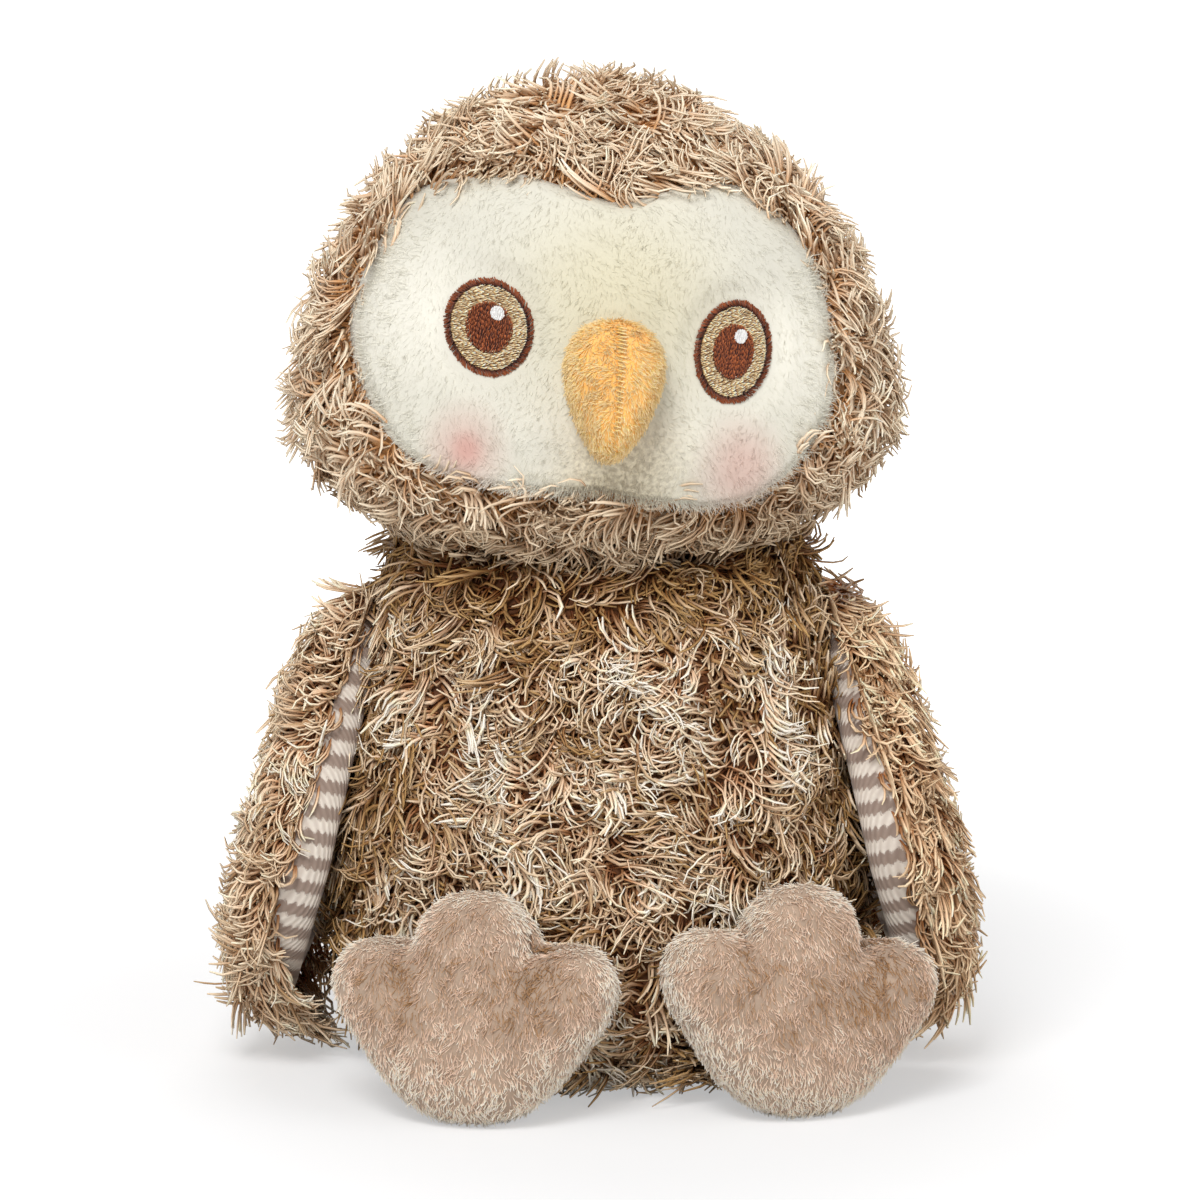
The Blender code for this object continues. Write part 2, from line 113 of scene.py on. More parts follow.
BODY_CENTRE_HEIGHT = 0.042
BODY_RISE = 0.105
BODY_DROP = 0.046
BODY_BASE_POWER = 0.7
HEAD_CENTRE = Vector((HEAD_OFF_CENTRE, 0, NECK_HEIGHT + 0.025))
HEAD_RISE = 0.070
HEAD_DROP = 0.034
CHEEK_TUCK = 0.0035
FACE_RISE = 0.024
FACE_YAW = math.radians(5)
FACE_ROLL = math.radians(6.2)
FACE_TURN = Matrix.Rotation(FACE_YAW, 3, "Z") @ Matrix.Rotation(FACE_ROLL, 3, "Y")
FACE_CENTRE = HEAD_CENTRE + Vector((0, 0, FACE_RISE))
FACE_FRAME = Matrix.Translation(FACE_CENTRE) @ FACE_TURN.to_4x4()
MASK_HALF_WIDTH = 0.0490
MASK_HALF_HEIGHT = 0.0320
MASK_OUTLINE = [
    (0.95, 0.02), (0.82, 0.60), (0.52, 0.97), (0.22, 0.97), (0.00, 0.86),
    (-0.235, 0.91), (-0.48, 0.92), (-0.83, 0.67), (-1.03, -0.06), (-0.95, -0.56),
    (-0.77, -0.86), (-0.45, -0.94), (0.00, -0.90), (0.47, -0.94), (0.73, -0.81), (0.94, -0.39),
]
EYE_SPREAD = 0.0252
EYE_RAISE = 0.0008
WALL = 0.0016
WING_HALF_LENGTH = 0.0475
WING_HALF_CHORD = 0.031
WING_TAPER = 0.22
WING_DOME = 0.0115
WING_EDGE_POWER = 0.62
WING_LEAN = math.radians(15)
WING_FLARE = math.radians(10)
LINING_THICK = 0.0012
LINING_ROLL = 0.0036
LINING_FRONT_ROLL = 0.0052
FOOT_HALF_WIDTH = 0.0303
FOOT_OUTLINE = [
    0.95, 1.02, 0.93, 0.68, 0.74, 0.81, 0.83, 0.81, 0.74, 0.68, 0.93, 1.02,
    0.95, 0.84, 0.79, 0.78, 0.78, 0.78, 0.78, 0.78, 0.78, 0.78, 0.79, 0.84,
]
FOOT_HALF_THICK = 0.0118
FOOT_EDGE_POWER = 0.55
FOOT_LEAN = math.radians(12)
FOOT_ROLL = {"left": math.radians(-8), "right": math.radians(1)}
FOOT_STAND_OFF = 0.0100
HEEL_FLAT = 0.0005
FOOT_YAW = {"left": math.radians(22), "right": math.radians(-14)}


def linear(red, green, blue):
    """A colour written as screen values from 0 to 255, as the shader wants it."""
    return tuple(
        value / 255 / 12.92 if value <= 10 else ((value / 255 + 0.055) / 1.055) ** 2.4
        for value in (red, green, blue)
    )


class OwlPile(bpy.types.PropertyGroup):
    """The curly yarn pile of head, body and wings."""

    length: FloatProperty(
        name="Thread length", description="Length of one thread of the pile",
        default=0.0125, min=0.002, unit="LENGTH",
    )
    thick: FloatProperty(
        name="Thread radius", description="Radius of one thread of the pile",
        default=0.00035, min=0.0001, unit="LENGTH",
    )
    threads: IntProperty(
        name="Threads in a lock", description="How many threads curl together", default=8, min=1,
    )
    spacing: FloatProperty(
        name="Lock spacing", description="From one lock of the pile to the next",
        default=0.0033, min=0.001, unit="LENGTH",
    )


class OwlColours(bpy.types.PropertyGroup):
    """The colours of the owl's fabrics and threads."""

    root: FloatVectorProperty(
        name="Pile root", description="Colour at the foot of the pile",
        subtype="COLOR", default=linear(122, 66, 26),
    )
    middle: FloatVectorProperty(
        name="Pile middle", description="Colour half way up the pile",
        subtype="COLOR", default=linear(186, 142, 103),
    )
    tip: FloatVectorProperty(
        name="Pile tip", description="Colour at the tips of the pile",
        subtype="COLOR", default=linear(252, 237, 214),
    )
    head_root: FloatVectorProperty(
        name="Head pile root", description="Colour at the foot of the head's lighter pile",
        subtype="COLOR", default=linear(196, 146, 92),
    )
    cream: FloatVectorProperty(
        name="Face", description="Colour of the face plush",
        subtype="COLOR", default=linear(215, 212, 199),
    )
    cream_warm: FloatVectorProperty(
        name="Face, middle", description="Warmer colour between the eyes",
        subtype="COLOR", default=linear(200, 190, 148),
    )
    blush: FloatVectorProperty(
        name="Blush", description="Colour sprayed on the cheeks",
        subtype="COLOR", default=linear(200, 138, 128),
    )
    orange: FloatVectorProperty(
        name="Beak", description="Colour of the beak plush",
        subtype="COLOR", default=linear(250, 206, 130),
    )
    taupe: FloatVectorProperty(
        name="Feet", description="Colour of the foot plush",
        subtype="COLOR", default=linear(206, 179, 156),
    )
    stripe_dark: FloatVectorProperty(
        name="Dark stripe", description="Colour of the lining's dark stripes",
        subtype="COLOR", default=linear(166, 148, 136),
    )
    stripe_light: FloatVectorProperty(
        name="Light stripe", description="Colour of the lining's light stripes",
        subtype="COLOR", default=linear(244, 237, 226),
    )


class OwlSizes(bpy.types.PropertyGroup):
    """Sizes of the short piles and of the stitches."""

    face_pile: FloatProperty(
        name="Face pile", description="Length of the face plush's pile", default=0.0016, unit="LENGTH",
    )
    foot_pile: FloatProperty(
        name="Foot pile", description="Length of the foot plush's pile", default=0.0021, unit="LENGTH",
    )
    stripe: FloatProperty(
        name="Stripe", description="From one dark stripe of the lining to the next",
        default=0.0054, unit="LENGTH",
    )
    stitch: FloatProperty(
        name="Stitch radius", description="Radius of an embroidery thread", default=0.00012, unit="LENGTH",
    )


# Small helpers

def ramp(value, start, span):
    """0 up to start and 1 from a span further on, with a negative span the other way."""
    return np.clip((value - start) / span, 0, 1)


def unit_rows(vectors):
    return vectors / np.maximum(np.linalg.norm(vectors, axis=1), 1e-9)[:, None]


def along_surface(vectors, normals):
    """What is left of vectors once their part along the surface's direction is taken away."""
    return vectors - normals * (vectors * normals).sum(1)[:, None]


def into(place, points):
    """Points in a frame's own coordinates."""
    return (points - np.array(place.translation)) @ np.array(place.to_3x3())


def out_of(place, local):
    """Where points lie that are given in a frame's own coordinates."""
    return local @ np.array(place.to_3x3()).T + np.array(place.translation)


def smooth_loop(values, place):
    """A smooth closed curve through values; place counts in steps from one value to the next."""
    start = place.astype(int)
    part = (place - start).reshape(-1, *[1] * (values.ndim - 1))
    before, here, after, last = (values[(start + k) % len(values)] for k in (-1, 0, 1, 2))
    rise = (after - before) / 2
    fall = (last - here) / 2
    bend = 2 * here - 2 * after + rise + fall
    return here + part * (rise + part * (3 * (after - here) - 2 * rise - fall + part * bend))


# Surfaces, as rules that turn unit vectors into places

def body_skin(unit, lift=0.0):
    power = np.where(unit[:, 2] < 0, BODY_BASE_POWER, 1.0)
    reach = np.where(unit[:, 2] < 0, BODY_DROP, BODY_RISE)
    flat = np.maximum(np.hypot(unit[:, 0], unit[:, 1]), 1e-9)
    swell = flat ** power / flat
    return np.stack([
        (BODY_HALF_WIDTH + lift) * unit[:, 0] * swell,
        (BODY_HALF_DEPTH + lift) * unit[:, 1] * swell,
        BODY_CENTRE_HEIGHT + (reach + lift) * (np.sign(unit[:, 2]) * np.abs(unit[:, 2]) ** power),
    ], 1)


def head_skin(unit, lift=0.0):
    """The part's head, drawn in a little under the cheeks, where the pile hangs over it."""
    lift = lift - CHEEK_TUCK * np.clip(-2 * unit[:, 2], 0, 1)
    reach = np.where(unit[:, 2] < 0, HEAD_DROP, HEAD_RISE)
    return np.stack([
        HEAD_CENTRE.x + (HEAD_HALF_WIDTH + lift) * unit[:, 0],
        (HEAD_HALF_DEPTH + lift) * unit[:, 1],
        HEAD_CENTRE.z + (reach + lift) * unit[:, 2],
    ], 1)


def wing_frame(side_name):
    """The wing's frame as in the part: X across, Y up the wing, Z out of its dome."""
    side = SIDES[side_name]
    turn = Matrix.Rotation(side * WING_FLARE, 4, "Z") @ Matrix.Rotation(-side * WING_LEAN, 4, "Y")
    face = Matrix(((0, 0, side, 0), (side, 0, 0, 0), (0, 1, 0, 0), (0, 0, 0, 1)))
    hinge = Vector(HINGES[f"{side_name}_wing_lift"])
    return Matrix.Translation(hinge) @ turn @ face @ Matrix.Translation((0, -WING_HALF_LENGTH, 0))


def wing_outline(angle):
    across = WING_HALF_CHORD * np.cos(angle) * (1 - WING_TAPER * np.sin(angle))
    return np.stack([across, WING_HALF_LENGTH * np.sin(angle)], 1)


def foot_outline(angle):
    table = np.array(FOOT_OUTLINE)
    share = smooth_loop(table, (angle / math.tau * len(table)) % len(table)) * FOOT_HALF_WIDTH
    return np.stack([np.cos(angle) * share, np.sin(angle) * share], 1)


def foot_way(side_name):
    """The level direction in which the foot's sole faces."""
    yaw = FOOT_YAW[side_name]
    return np.array([math.sin(yaw), -math.cos(yaw), 0.0])


def foot_frame(side_name):
    """The foot's frame, rolled a little from the part's: X across, Y up to the toes, Z out of the sole."""
    heel = -foot_outline(np.array([math.radians(270)]))[0, 1] * math.cos(FOOT_LEAN)
    centre = Vector(HINGES[f"{side_name}_foot_tip"]) + Vector(foot_way(side_name)) * FOOT_STAND_OFF
    centre += Vector((0, 0, heel - HEEL_FLAT))
    lean = Matrix.Rotation(math.radians(90) - FOOT_LEAN, 4, "X")
    basis = Matrix.Rotation(FOOT_YAW[side_name], 4, "Z") @ lean
    return Matrix.Translation(centre) @ basis @ Matrix.Rotation(FOOT_ROLL[side_name], 4, "Z")


def pad_skin(place, outline, bulge, power):
    """A rule for a pad whose outline lies in the XY plane of place and whose faces bulge along Z."""
    def rule(unit, lift=0.0):
        flat = np.hypot(unit[:, 0], unit[:, 1])
        edge = outline(np.arctan2(unit[:, 1], unit[:, 0]))
        edge = edge * (1 + lift / np.linalg.norm(edge, axis=1))[:, None]
        local = np.column_stack([edge * (flat ** power)[:, None], (bulge + lift) * unit[:, 2]])
        return out_of(place, local)
    return rule


# The face's relief

EYE_EDGE = (9.2, 10.8)


def bump(along, up, middle, across, tall):
    return np.exp(-((along - middle[0]) / across) ** 2 - ((up - middle[1]) / tall) ** 2)


def eye_share(along, up, side):
    """How far out a place on the face is from an eye's middle, with 1 at the edge of the eye's ring."""
    return np.hypot((along - side * EYE_SPREAD) / EYE_EDGE[0], (up - EYE_RAISE) / EYE_EDGE[1]) / MM


def face_relief(along, up):
    """How far the face plush stands out of the head's form: sockets, cheeks and the seam under the beak."""
    out = np.zeros_like(along)
    for side in (-1, 1):
        out -= 2.0 * MM * bump(along, up, (side * 23 * MM, EYE_RAISE + 1 * MM), 14 * MM, 15 * MM)
        ring = ramp(eye_share(along, up, side), 1.42, -0.38)
        out -= 1.1 * MM * ring ** 2 * (3 - 2 * ring)
        out += 3.0 * MM * bump(along, up, (side * 17 * MM, -19 * MM), 13 * MM, 8 * MM)
        out += 2.0 * MM * bump(along, up, (side * 22 * MM, 21 * MM), 16 * MM, 7 * MM)
    out += 2.6 * MM * bump(along, up, (0, 0), 8 * MM, 15 * MM)
    for side in (-1, 1):
        out += 0.6 * MM * bump(along, up, (side * 17 * MM, 17 * MM), 12 * MM, 6 * MM)
    seam = 1 / (1 + np.exp((up + 25 * MM) / (1.2 * MM)))
    return out - 2.4 * MM * seam * np.exp(-(along / (3.2 * MM)) ** 2)


def face_places(along, up, lift=0.0):
    """Places on the face: along and up are measured in the face's own tilted frame."""
    near = np.full(len(along), -1.2 * HEAD_HALF_DEPTH)
    far = np.zeros(len(along))
    for _ in range(HALVINGS):
        middle = (near + far) / 2
        place = out_of(FACE_FRAME, np.column_stack([along, middle, up])) - np.array(HEAD_CENTRE)
        tall = np.where(place[:, 2] < 0, HEAD_DROP, HEAD_RISE)
        size = (place[:, 0] / HEAD_HALF_WIDTH) ** 2 + (place[:, 1] / HEAD_HALF_DEPTH) ** 2
        outside = size + (place[:, 2] / tall) ** 2 > 1
        near = np.where(outside, middle, near)
        far = np.where(outside, far, middle)
    return out_of(FACE_FRAME, np.column_stack([along, far - face_relief(along, up) - lift, up]))


def face_spot(along, up):
    return face_places(np.array([along]), np.array([up]))[0]


def face_normals(along, up):
    step = 0.5 * MM
    across = face_places(along + step, up) - face_places(along - step, up)
    rise = face_places(along, up + step) - face_places(along, up - step)
    return unit_rows(np.cross(across, rise))


def mask_edge(angle):
    """The distance from the face's middle to the mask's edge, in any direction."""
    points = np.array(MASK_OUTLINE) * (MASK_HALF_WIDTH, MASK_HALF_HEIGHT)
    curve = smooth_loop(points, np.arange(0, len(points), 0.125))
    turns = np.arctan2(curve[:, 1], curve[:, 0])
    order = np.argsort(turns)
    return np.interp(angle, turns[order], np.linalg.norm(curve, axis=1)[order], period=math.tau)


def face_share(points):
    """For places on the head: how far out they are on the mask, with 1 at its edge, and more outside."""
    local = into(FACE_FRAME, points)
    share = np.hypot(local[:, 0], local[:, 2]) / mask_edge(np.arctan2(local[:, 2], local[:, 0]))
    return np.where(local[:, 1] < 0, share, 9.0)


# Mesh making

def new_object(name, mesh, finish):
    made = bpy.data.objects.new(name, mesh)
    bpy.context.scene.collection.objects.link(made)
    if finish:
        mesh.materials.append(finish)
    return made


def finished(bm, name, finish):
    """Turns a bmesh into a smooth object, whose points and faces have the same order in each run."""
    bmesh.ops.recalc_face_normals(bm, faces=bm.faces)
    bm.verts.index_update()
    places = np.array([vert.co for vert in bm.verts])
    order = np.lexsort(places.T)
    rank = np.argsort(order)
    faces = []
    for face in bm.faces:
        corners = [int(rank[vert.index]) for vert in face.verts]
        first = corners.index(min(corners))
        faces.append(corners[first:] + corners[:first])
    bm.free()
    mesh = bpy.data.meshes.new(name)
    mesh.from_pydata(places[order].tolist(), [], sorted(faces))
    mesh.shade_smooth()
    return new_object(name, mesh, finish)


def apply_modifiers(made):
    """Leaves the evaluated mesh on the object, with no modifier."""
    bpy.context.view_layer.update()
    evaluated = made.evaluated_get(bpy.context.evaluated_depsgraph_get())
    mesh = bpy.data.meshes.new_from_object(evaluated)
    made.modifiers.clear()
    made.data = mesh
    return made


def skin(name, rule, facets, finish, lift=0.0, cuts=()):
    """A closed form from a unit sphere, cut flat by planes and capped there."""
    bm = bmesh.new()
    bmesh.ops.create_uvsphere(bm, u_segments=facets[0], v_segments=facets[1], radius=1)
    units = np.array([vert.co for vert in bm.verts])
    for vert, place in zip(bm.verts, rule(units, lift)):
        vert.co = place
    for place, away in cuts:
        geometry = bm.verts[:] + bm.edges[:] + bm.faces[:]
        cut = bmesh.ops.bisect_plane(bm, geom=geometry, plane_co=place, plane_no=away, clear_outer=True)
        rim = [item for item in cut["geom_cut"] if isinstance(item, bmesh.types.BMEdge)]
        bmesh.ops.contextual_create(bm, geom=rim)
    return finished(bm, name, finish)


def disc(name, edge, place, facets, finish):
    """A flat grid drawn to a round outline, then laid on a surface by place(along, up, share)."""
    bm = bmesh.new()
    bmesh.ops.create_grid(bm, x_segments=facets[0], y_segments=facets[1], size=1)
    flat = np.array([vert.co for vert in bm.verts])
    along = flat[:, 0] * np.sqrt(1 - flat[:, 1] ** 2 / 2)
    up = flat[:, 1] * np.sqrt(1 - flat[:, 0] ** 2 / 2)
    share = np.hypot(along, up)
    angle = np.arctan2(up, along)
    size = share * edge(angle)
    for vert, spot in zip(bm.verts, place(size * np.cos(angle), size * np.sin(angle), share)):
        vert.co = spot
    return finished(bm, name, finish)


def thicken(made, thick):
    """Gives a sheet its wall, inwards from its outer face."""
    wall = made.modifiers.new("wall", "SOLIDIFY")
    wall.thickness = thick
    wall.offset = -1
    return apply_modifiers(made)


def rows_of(items, label, kind=np.float32):
    """Values of a mesh's points or triangles, in rows of three."""
    held = np.empty(len(items) * 3, kind)
    items.foreach_get(label, held)
    return held.reshape(-1, 3)


def scatter(made, count, rng, wanted=None):
    """Even random places on a mesh, with the surface's direction at each."""
    mesh = made.data
    mesh.calc_loop_triangles()
    corners = rows_of(mesh.loop_triangles, "vertices", np.int32)
    places = rows_of(mesh.vertices, "co").astype(float)
    normals = rows_of(mesh.vertices, "normal").astype(float)
    a, b, c = (places[corners[:, k]] for k in range(3))
    area = np.linalg.norm(np.cross(b - a, c - a), axis=1)
    if wanted is not None:
        area = area * wanted((a + b + c) / 3)
    chosen = rng.choice(len(area), count, p=area / area.sum())
    u = rng.random((count, 1))
    v = rng.random((count, 1))
    over = (u + v) > 1
    u, v = np.where(over, 1 - u, u), np.where(over, 1 - v, v)
    spots = a[chosen] * (1 - u - v) + b[chosen] * u + c[chosen] * v
    out = sum(normals[corners[chosen, k]] * w for k, w in ((0, 1 - u - v), (1, u), (2, v)))
    return spots, unit_rows(out)


def even_scatter(made, step, rng, wanted):
    """Random places that keep a step from each other, and a little more behind than in front."""
    def spacing(places):
        return np.where(places[:, 1] < 10 * MM, step, step * WIDER_BEHIND)

    def thinned(places):
        return 1 / spacing(places) ** 2 * wanted(places)

    spots, out = scatter(made, TRIED_PLACES, rng, thinned)
    gaps = spacing(spots)
    keys = np.floor(spots / gaps.max()).astype(int)
    taken, kept = {}, []
    tried = zip(spots.tolist(), gaps.tolist(), map(tuple, keys.tolist()))
    for number, (spot, gap, key) in enumerate(tried):
        near = [
            other for i in (-1, 0, 1) for j in (-1, 0, 1) for k in (-1, 0, 1)
            for other in taken.get((key[0] + i, key[1] + j, key[2] + k), ())
        ]
        if all(math.dist(spot, other) > gap for other in near):
            taken.setdefault(key, []).append(spot)
            kept.append(number)
    return spots[kept], out[kept]


# Nodes

def node(tree, kind, fed=None, **settings):
    """A new node with its settings; fed gives its inputs their values or the sockets that feed them."""
    made = tree.nodes.new(kind)
    for label, value in settings.items():
        setattr(made, label, value)
    for label, value in (fed or {}).items():
        if isinstance(value, bpy.types.NodeSocket):
            tree.links.new(value, made.inputs[label])
        else:
            made.inputs[label].default_value = value
    return made


def reckon(tree, operation, *values):
    fed = dict(enumerate(values))
    return node(tree, "ShaderNodeMath", fed, operation=operation).outputs[0]


def vector_times(tree, first, second):
    return node(tree, "ShaderNodeVectorMath", {0: first, 1: second}, operation="MULTIPLY").outputs[0]


def ranged(tree, value, low, high, interpolation="LINEAR", ends=(0, 1)):
    """Runs from one end to the other while value goes from low to high."""
    fed = {"Value": value, "From Min": low, "From Max": high, "To Min": ends[0], "To Max": ends[1]}
    return node(tree, "ShaderNodeMapRange", fed, interpolation_type=interpolation).outputs[0]


def mix_colours(tree, share, first, second):
    """A colour mix; share, first and second are sockets or values."""
    first, second = (end if isinstance(end, bpy.types.NodeSocket) else (*end, 1) for end in (first, second))
    return node(tree, "ShaderNodeMix", {0: share, 6: first, 7: second}, data_type="RGBA").outputs[2]


def object_place(tree):
    return node(tree, "ShaderNodeTexCoord").outputs["Object"]


def noise(tree, scale, detail):
    fed = {"Vector": object_place(tree), "Scale": scale, "Detail": detail}
    return node(tree, "ShaderNodeTexNoise", fed).outputs["Fac"]


def bumped(tree, shader, height, strength, distance):
    fed = {"Height": height, "Strength": strength, "Distance": distance}
    tree.links.new(node(tree, "ShaderNodeBump", fed).outputs["Normal"], shader.inputs["Normal"])


def new_finish(name, roughness, sheen, shine=0.5):
    """A material with one shader, which still wants its colour."""
    made = bpy.data.materials.new(name)
    made.use_nodes = True
    shader = made.node_tree.nodes["Principled BSDF"]
    for label, value in (("Roughness", roughness), ("Sheen Weight", sheen), ("Specular IOR Level", shine)):
        shader.inputs[label].default_value = value
    return made, made.node_tree, shader


def coloured(finish, colour):
    """The finish, once a socket gives its colour."""
    made, tree, shader = finish
    tree.links.new(colour, shader.inputs["Base Color"])
    return made


def tint(colour, factor):
    """A colour made lighter or darker, by one factor or by one for each of its channels."""
    factors = np.broadcast_to(factor, 3).tolist()
    return tuple(min(1.0, value * share) for value, share in zip(colour, factors))


# Threads

# Painted shade: the colour each kind of thread is darkened to at its outline, as the camera sees it
THREAD_OUTLINE_SHADE = {
    "yarn": (0.42, 0.36, 0.30), "head": (0.62, 0.56, 0.48), "beak": (0.88, 0.78, 0.64),
    "foot": (0.96, 0.95, 0.93), "stitch": (0.60, 0.55, 0.50),
}
BRIGHTEST = {
    "yarn": (0.95, 0.88, 0.77), "head": (0.95, 0.87, 0.75), "beak": (0.95, 0.77, 0.46),
    "foot": (0.95, 0.89, 0.80), "stitch": (0.95, 0.95, 0.95),
}


def thread_group():
    """Geometry nodes that turn lines with a thickness into three-sided tubes with closed ends."""
    group = bpy.data.node_groups.new("threads", "GeometryNodeTree")
    for label, way in (("Lines", "INPUT"), ("Tubes", "OUTPUT")):
        group.interface.new_socket(label, in_out=way, socket_type="NodeSocketGeometry")
    thick, along, shade, around = (
        node(group, "GeometryNodeInputNamedAttribute", {"Name": label}).outputs["Attribute"]
        for label in ("thick", "along", "shade", "around")
    )
    lines = node(group, "NodeGroupInput").outputs["Lines"]
    curves = node(group, "GeometryNodeMeshToCurve", {"Mesh": lines}).outputs["Curve"]
    ring = node(group, "GeometryNodeCurvePrimitiveCircle", {"Resolution": 3, "Radius": 1}).outputs["Curve"]
    turn = node(group, "GeometryNodeSplineParameter").outputs["Factor"]
    fed = {"Geometry": ring, "Name": "around", "Value": turn}
    profile = node(group, "GeometryNodeStoreNamedAttribute", fed).outputs["Geometry"]
    fed = {"Curve": curves, "Profile Curve": profile, "Scale": thick, "Fill Caps": True}
    tubes = node(group, "GeometryNodeCurveToMesh", fed).outputs["Mesh"]
    smooth = node(group, "GeometryNodeSetShadeSmooth", {"Geometry": tubes}).outputs["Geometry"]
    level = reckon(group, "MULTIPLY_ADD", around, 0.04, shade)
    flat_map = node(group, "ShaderNodeCombineXYZ", {"X": along, "Y": level}).outputs[0]
    fed = {"Geometry": smooth, "Name": "OFBake", "Value": flat_map}
    store = node(group, "GeometryNodeStoreNamedAttribute", fed, data_type="FLOAT2", domain="CORNER")
    node(group, "NodeGroupOutput", {"Tubes": store.outputs["Geometry"]})
    return group


def threads(name, lines, radii, shades, finish):
    """A piece of many threads: lines is (threads, points, 3), radii (threads, points), shades (threads)."""
    count, points, _ = lines.shape
    mesh = bpy.data.meshes.new(name)
    mesh.vertices.add(count * points)
    mesh.vertices.foreach_set("co", lines.astype(np.float32).ravel())
    first = (np.arange(count)[:, None] * points + np.arange(points - 1)).ravel()
    mesh.edges.add(len(first))
    mesh.edges.foreach_set("vertices", np.stack([first, first + 1], 1).astype(np.int32).ravel())
    along = np.broadcast_to(np.linspace(0, 1, points), (count, points))
    shade = np.broadcast_to(np.clip(shades, 0, 1)[:, None] * 0.95, (count, points))
    for label, values in (("thick", radii), ("along", along), ("shade", shade)):
        held = mesh.attributes.new(label, "FLOAT", "POINT")
        held.data.foreach_set("value", np.ascontiguousarray(values, np.float32).ravel())
    made = new_object(name, mesh, None)
    step = made.modifiers.new("threads", "NODES")
    step.node_group = bpy.data.node_groups.get("threads") or thread_group()
    apply_modifiers(made)
    made.data.materials.clear()
    made.data.materials.append(finish)
    return made


def rolling(rng, places, size):
    """A smooth value of about -1 to 1 that wanders over the surface."""
    waves = rng.normal(size=(7, 3)) * math.tau / size / math.sqrt(3)
    phases = rng.uniform(0, math.tau, 7)
    return np.sin(places @ waves.T + phases).sum(1) / math.sqrt(7)


def fall_lines(normals):
    """Along the surface, the way that is straight down, or to the front where that is lost."""
    down = along_surface(np.array([[0.0, 0.0, -1.0]]), normals)
    front = along_surface(np.array([[0.0, -1.0, 0.0]]), normals)
    steep = np.linalg.norm(down, axis=1)[:, None]
    return unit_rows(down + front * np.clip(0.4 - steep, 0, 1) * 2.5)


def curl_locks(rng, roots, normals, look, room=None, pull=None):
    """Lines of threads in locks: each lock rises from its root, leans over and curls to one side."""
    count = len(roots)
    each = look["threads"]
    points = look["points"]
    down = fall_lines(normals)
    side = np.cross(normals, down)
    turn = look["swirl"] * rolling(rng, roots, look["swirl_size"]) + rng.normal(0, look["unruly"], count)
    ahead = np.cos(turn)[:, None] * down + np.sin(turn)[:, None] * side
    if pull is not None:
        way, weight = pull
        ahead = ahead * (1 - weight[:, None]) + way * weight[:, None]
        ahead = unit_rows(along_surface(ahead, normals))
    aside = np.cross(normals, ahead)
    shape = (count, each)
    offset = np.linspace(-1, 1, each) + rng.uniform(-1, 1, shape) / max(each, 2)
    depth = rng.uniform(-1, 1, shape)
    reach = look["length"] * rng.uniform(0.75, 1.2, (count, 1)) * rng.uniform(0.7, 1.1, shape)
    bend = rng.uniform(0.3, 2.2, (count, 1)) * rng.choice([-1, 1], (count, 1))
    curl = look["curl"] * (bend + rng.normal(0, 0.16, shape))
    fan = offset * look["fan"] * rng.normal(0.5, 1, (count, 1)) + rng.normal(0, look["stray"], shape)
    lift = look["lift"] * rng.uniform(0.7, 1.2, (count, 1)) + rng.normal(0, 0.12, shape)
    final = look["final"] + rng.normal(0, 0.25, (count, 1)) + rng.normal(0, 0.16, shape)
    step = (reach / (points - 1))[..., None]
    share = (np.arange(points - 1) + 0.5) / (points - 1)
    heading = fan[..., None] + curl[..., None] * (1.7 * share ** 1.5 - 0.4)
    pitch = lift[..., None] * (1 - share) ** 1.4 + final[..., None] * share
    moves = np.stack([
        step * np.cos(pitch) * np.cos(heading),
        step * np.cos(pitch) * np.sin(heading),
        step * np.sin(pitch),
    ], -1)
    local = np.concatenate([np.zeros((count, each, 1, 3)), np.cumsum(moves, 2)], 2)
    local[..., 0] += (depth * look["root_spread"])[..., None]
    local[..., 1] += (offset * look["root_spread"])[..., None]
    local[..., 2] -= look["sink"] * (1 - np.linspace(0, 1, points))
    if room is not None:
        tallest = np.maximum(local[..., 2].max(-1), 1e-6)
        local[..., 2] *= np.minimum(1, room[:, None] / tallest)[..., None]
    axes = np.stack([ahead, aside, normals], 1)
    lines = np.einsum("ltpa,lax->ltpx", local, axes) + roots[:, None, None, :]
    profile = np.interp(np.linspace(0, 1, points), (0, 0.3, 0.8, 1), (0.8, 1, 0.95, 0.5))
    radii = look["thick"] * rng.uniform(0.7, 1.2, shape)[..., None] * profile
    lock_shade = 0.14 * rolling(rng, roots, look["swirl_size"] * 1.6) + rng.normal(0, 0.1, count)
    # The look's dark value darkens whole locks: painted shade, set for the under threads in the gaps
    shades = 0.5 - look["dark"] + look["mottle"] * (lock_shade[:, None] + rng.normal(0, 0.14, shape))
    return lines.reshape(-1, points, 3), radii.reshape(-1, points), shades.ravel()


# Materials

def pile_group():
    """Shader nodes for a thread's colour: dark at the root, pale at the tip, and darker and browner where
    its shade is low. That shade is each thread's own random tone, with painted shade and painted light added
    to it in places.
    """
    group = bpy.data.node_groups.new("pile_colour", "ShaderNodeTree")
    for label in ("Root", "Middle", "Tip"):
        group.interface.new_socket(label, in_out="INPUT", socket_type="NodeSocketColor")
    for label in ("Dim", "Bright", "Brightest"):
        group.interface.new_socket(label, in_out="INPUT", socket_type="NodeSocketVector")
    group.interface.new_socket("Color", in_out="OUTPUT", socket_type="NodeSocketColor")
    given = node(group, "NodeGroupInput").outputs
    along, shade = (
        node(group, "ShaderNodeAttribute", attribute_name=label).outputs["Fac"]
        for label in ("along", "shade")
    )
    lower = mix_colours(group, ranged(group, along, 0, 0.42), given["Root"], given["Middle"])
    upper = mix_colours(group, ranged(group, along, 0.25, 0.9), lower, given["Tip"])
    scaled = vector_times(group, upper, mix_colours(group, shade, given["Dim"], given["Bright"]))
    lowest = node(group, "ShaderNodeVectorMath", {0: scaled, 1: given["Brightest"]}, operation="MINIMUM")
    node(group, "NodeGroupOutput", {"Color": lowest.outputs[0]})
    return group


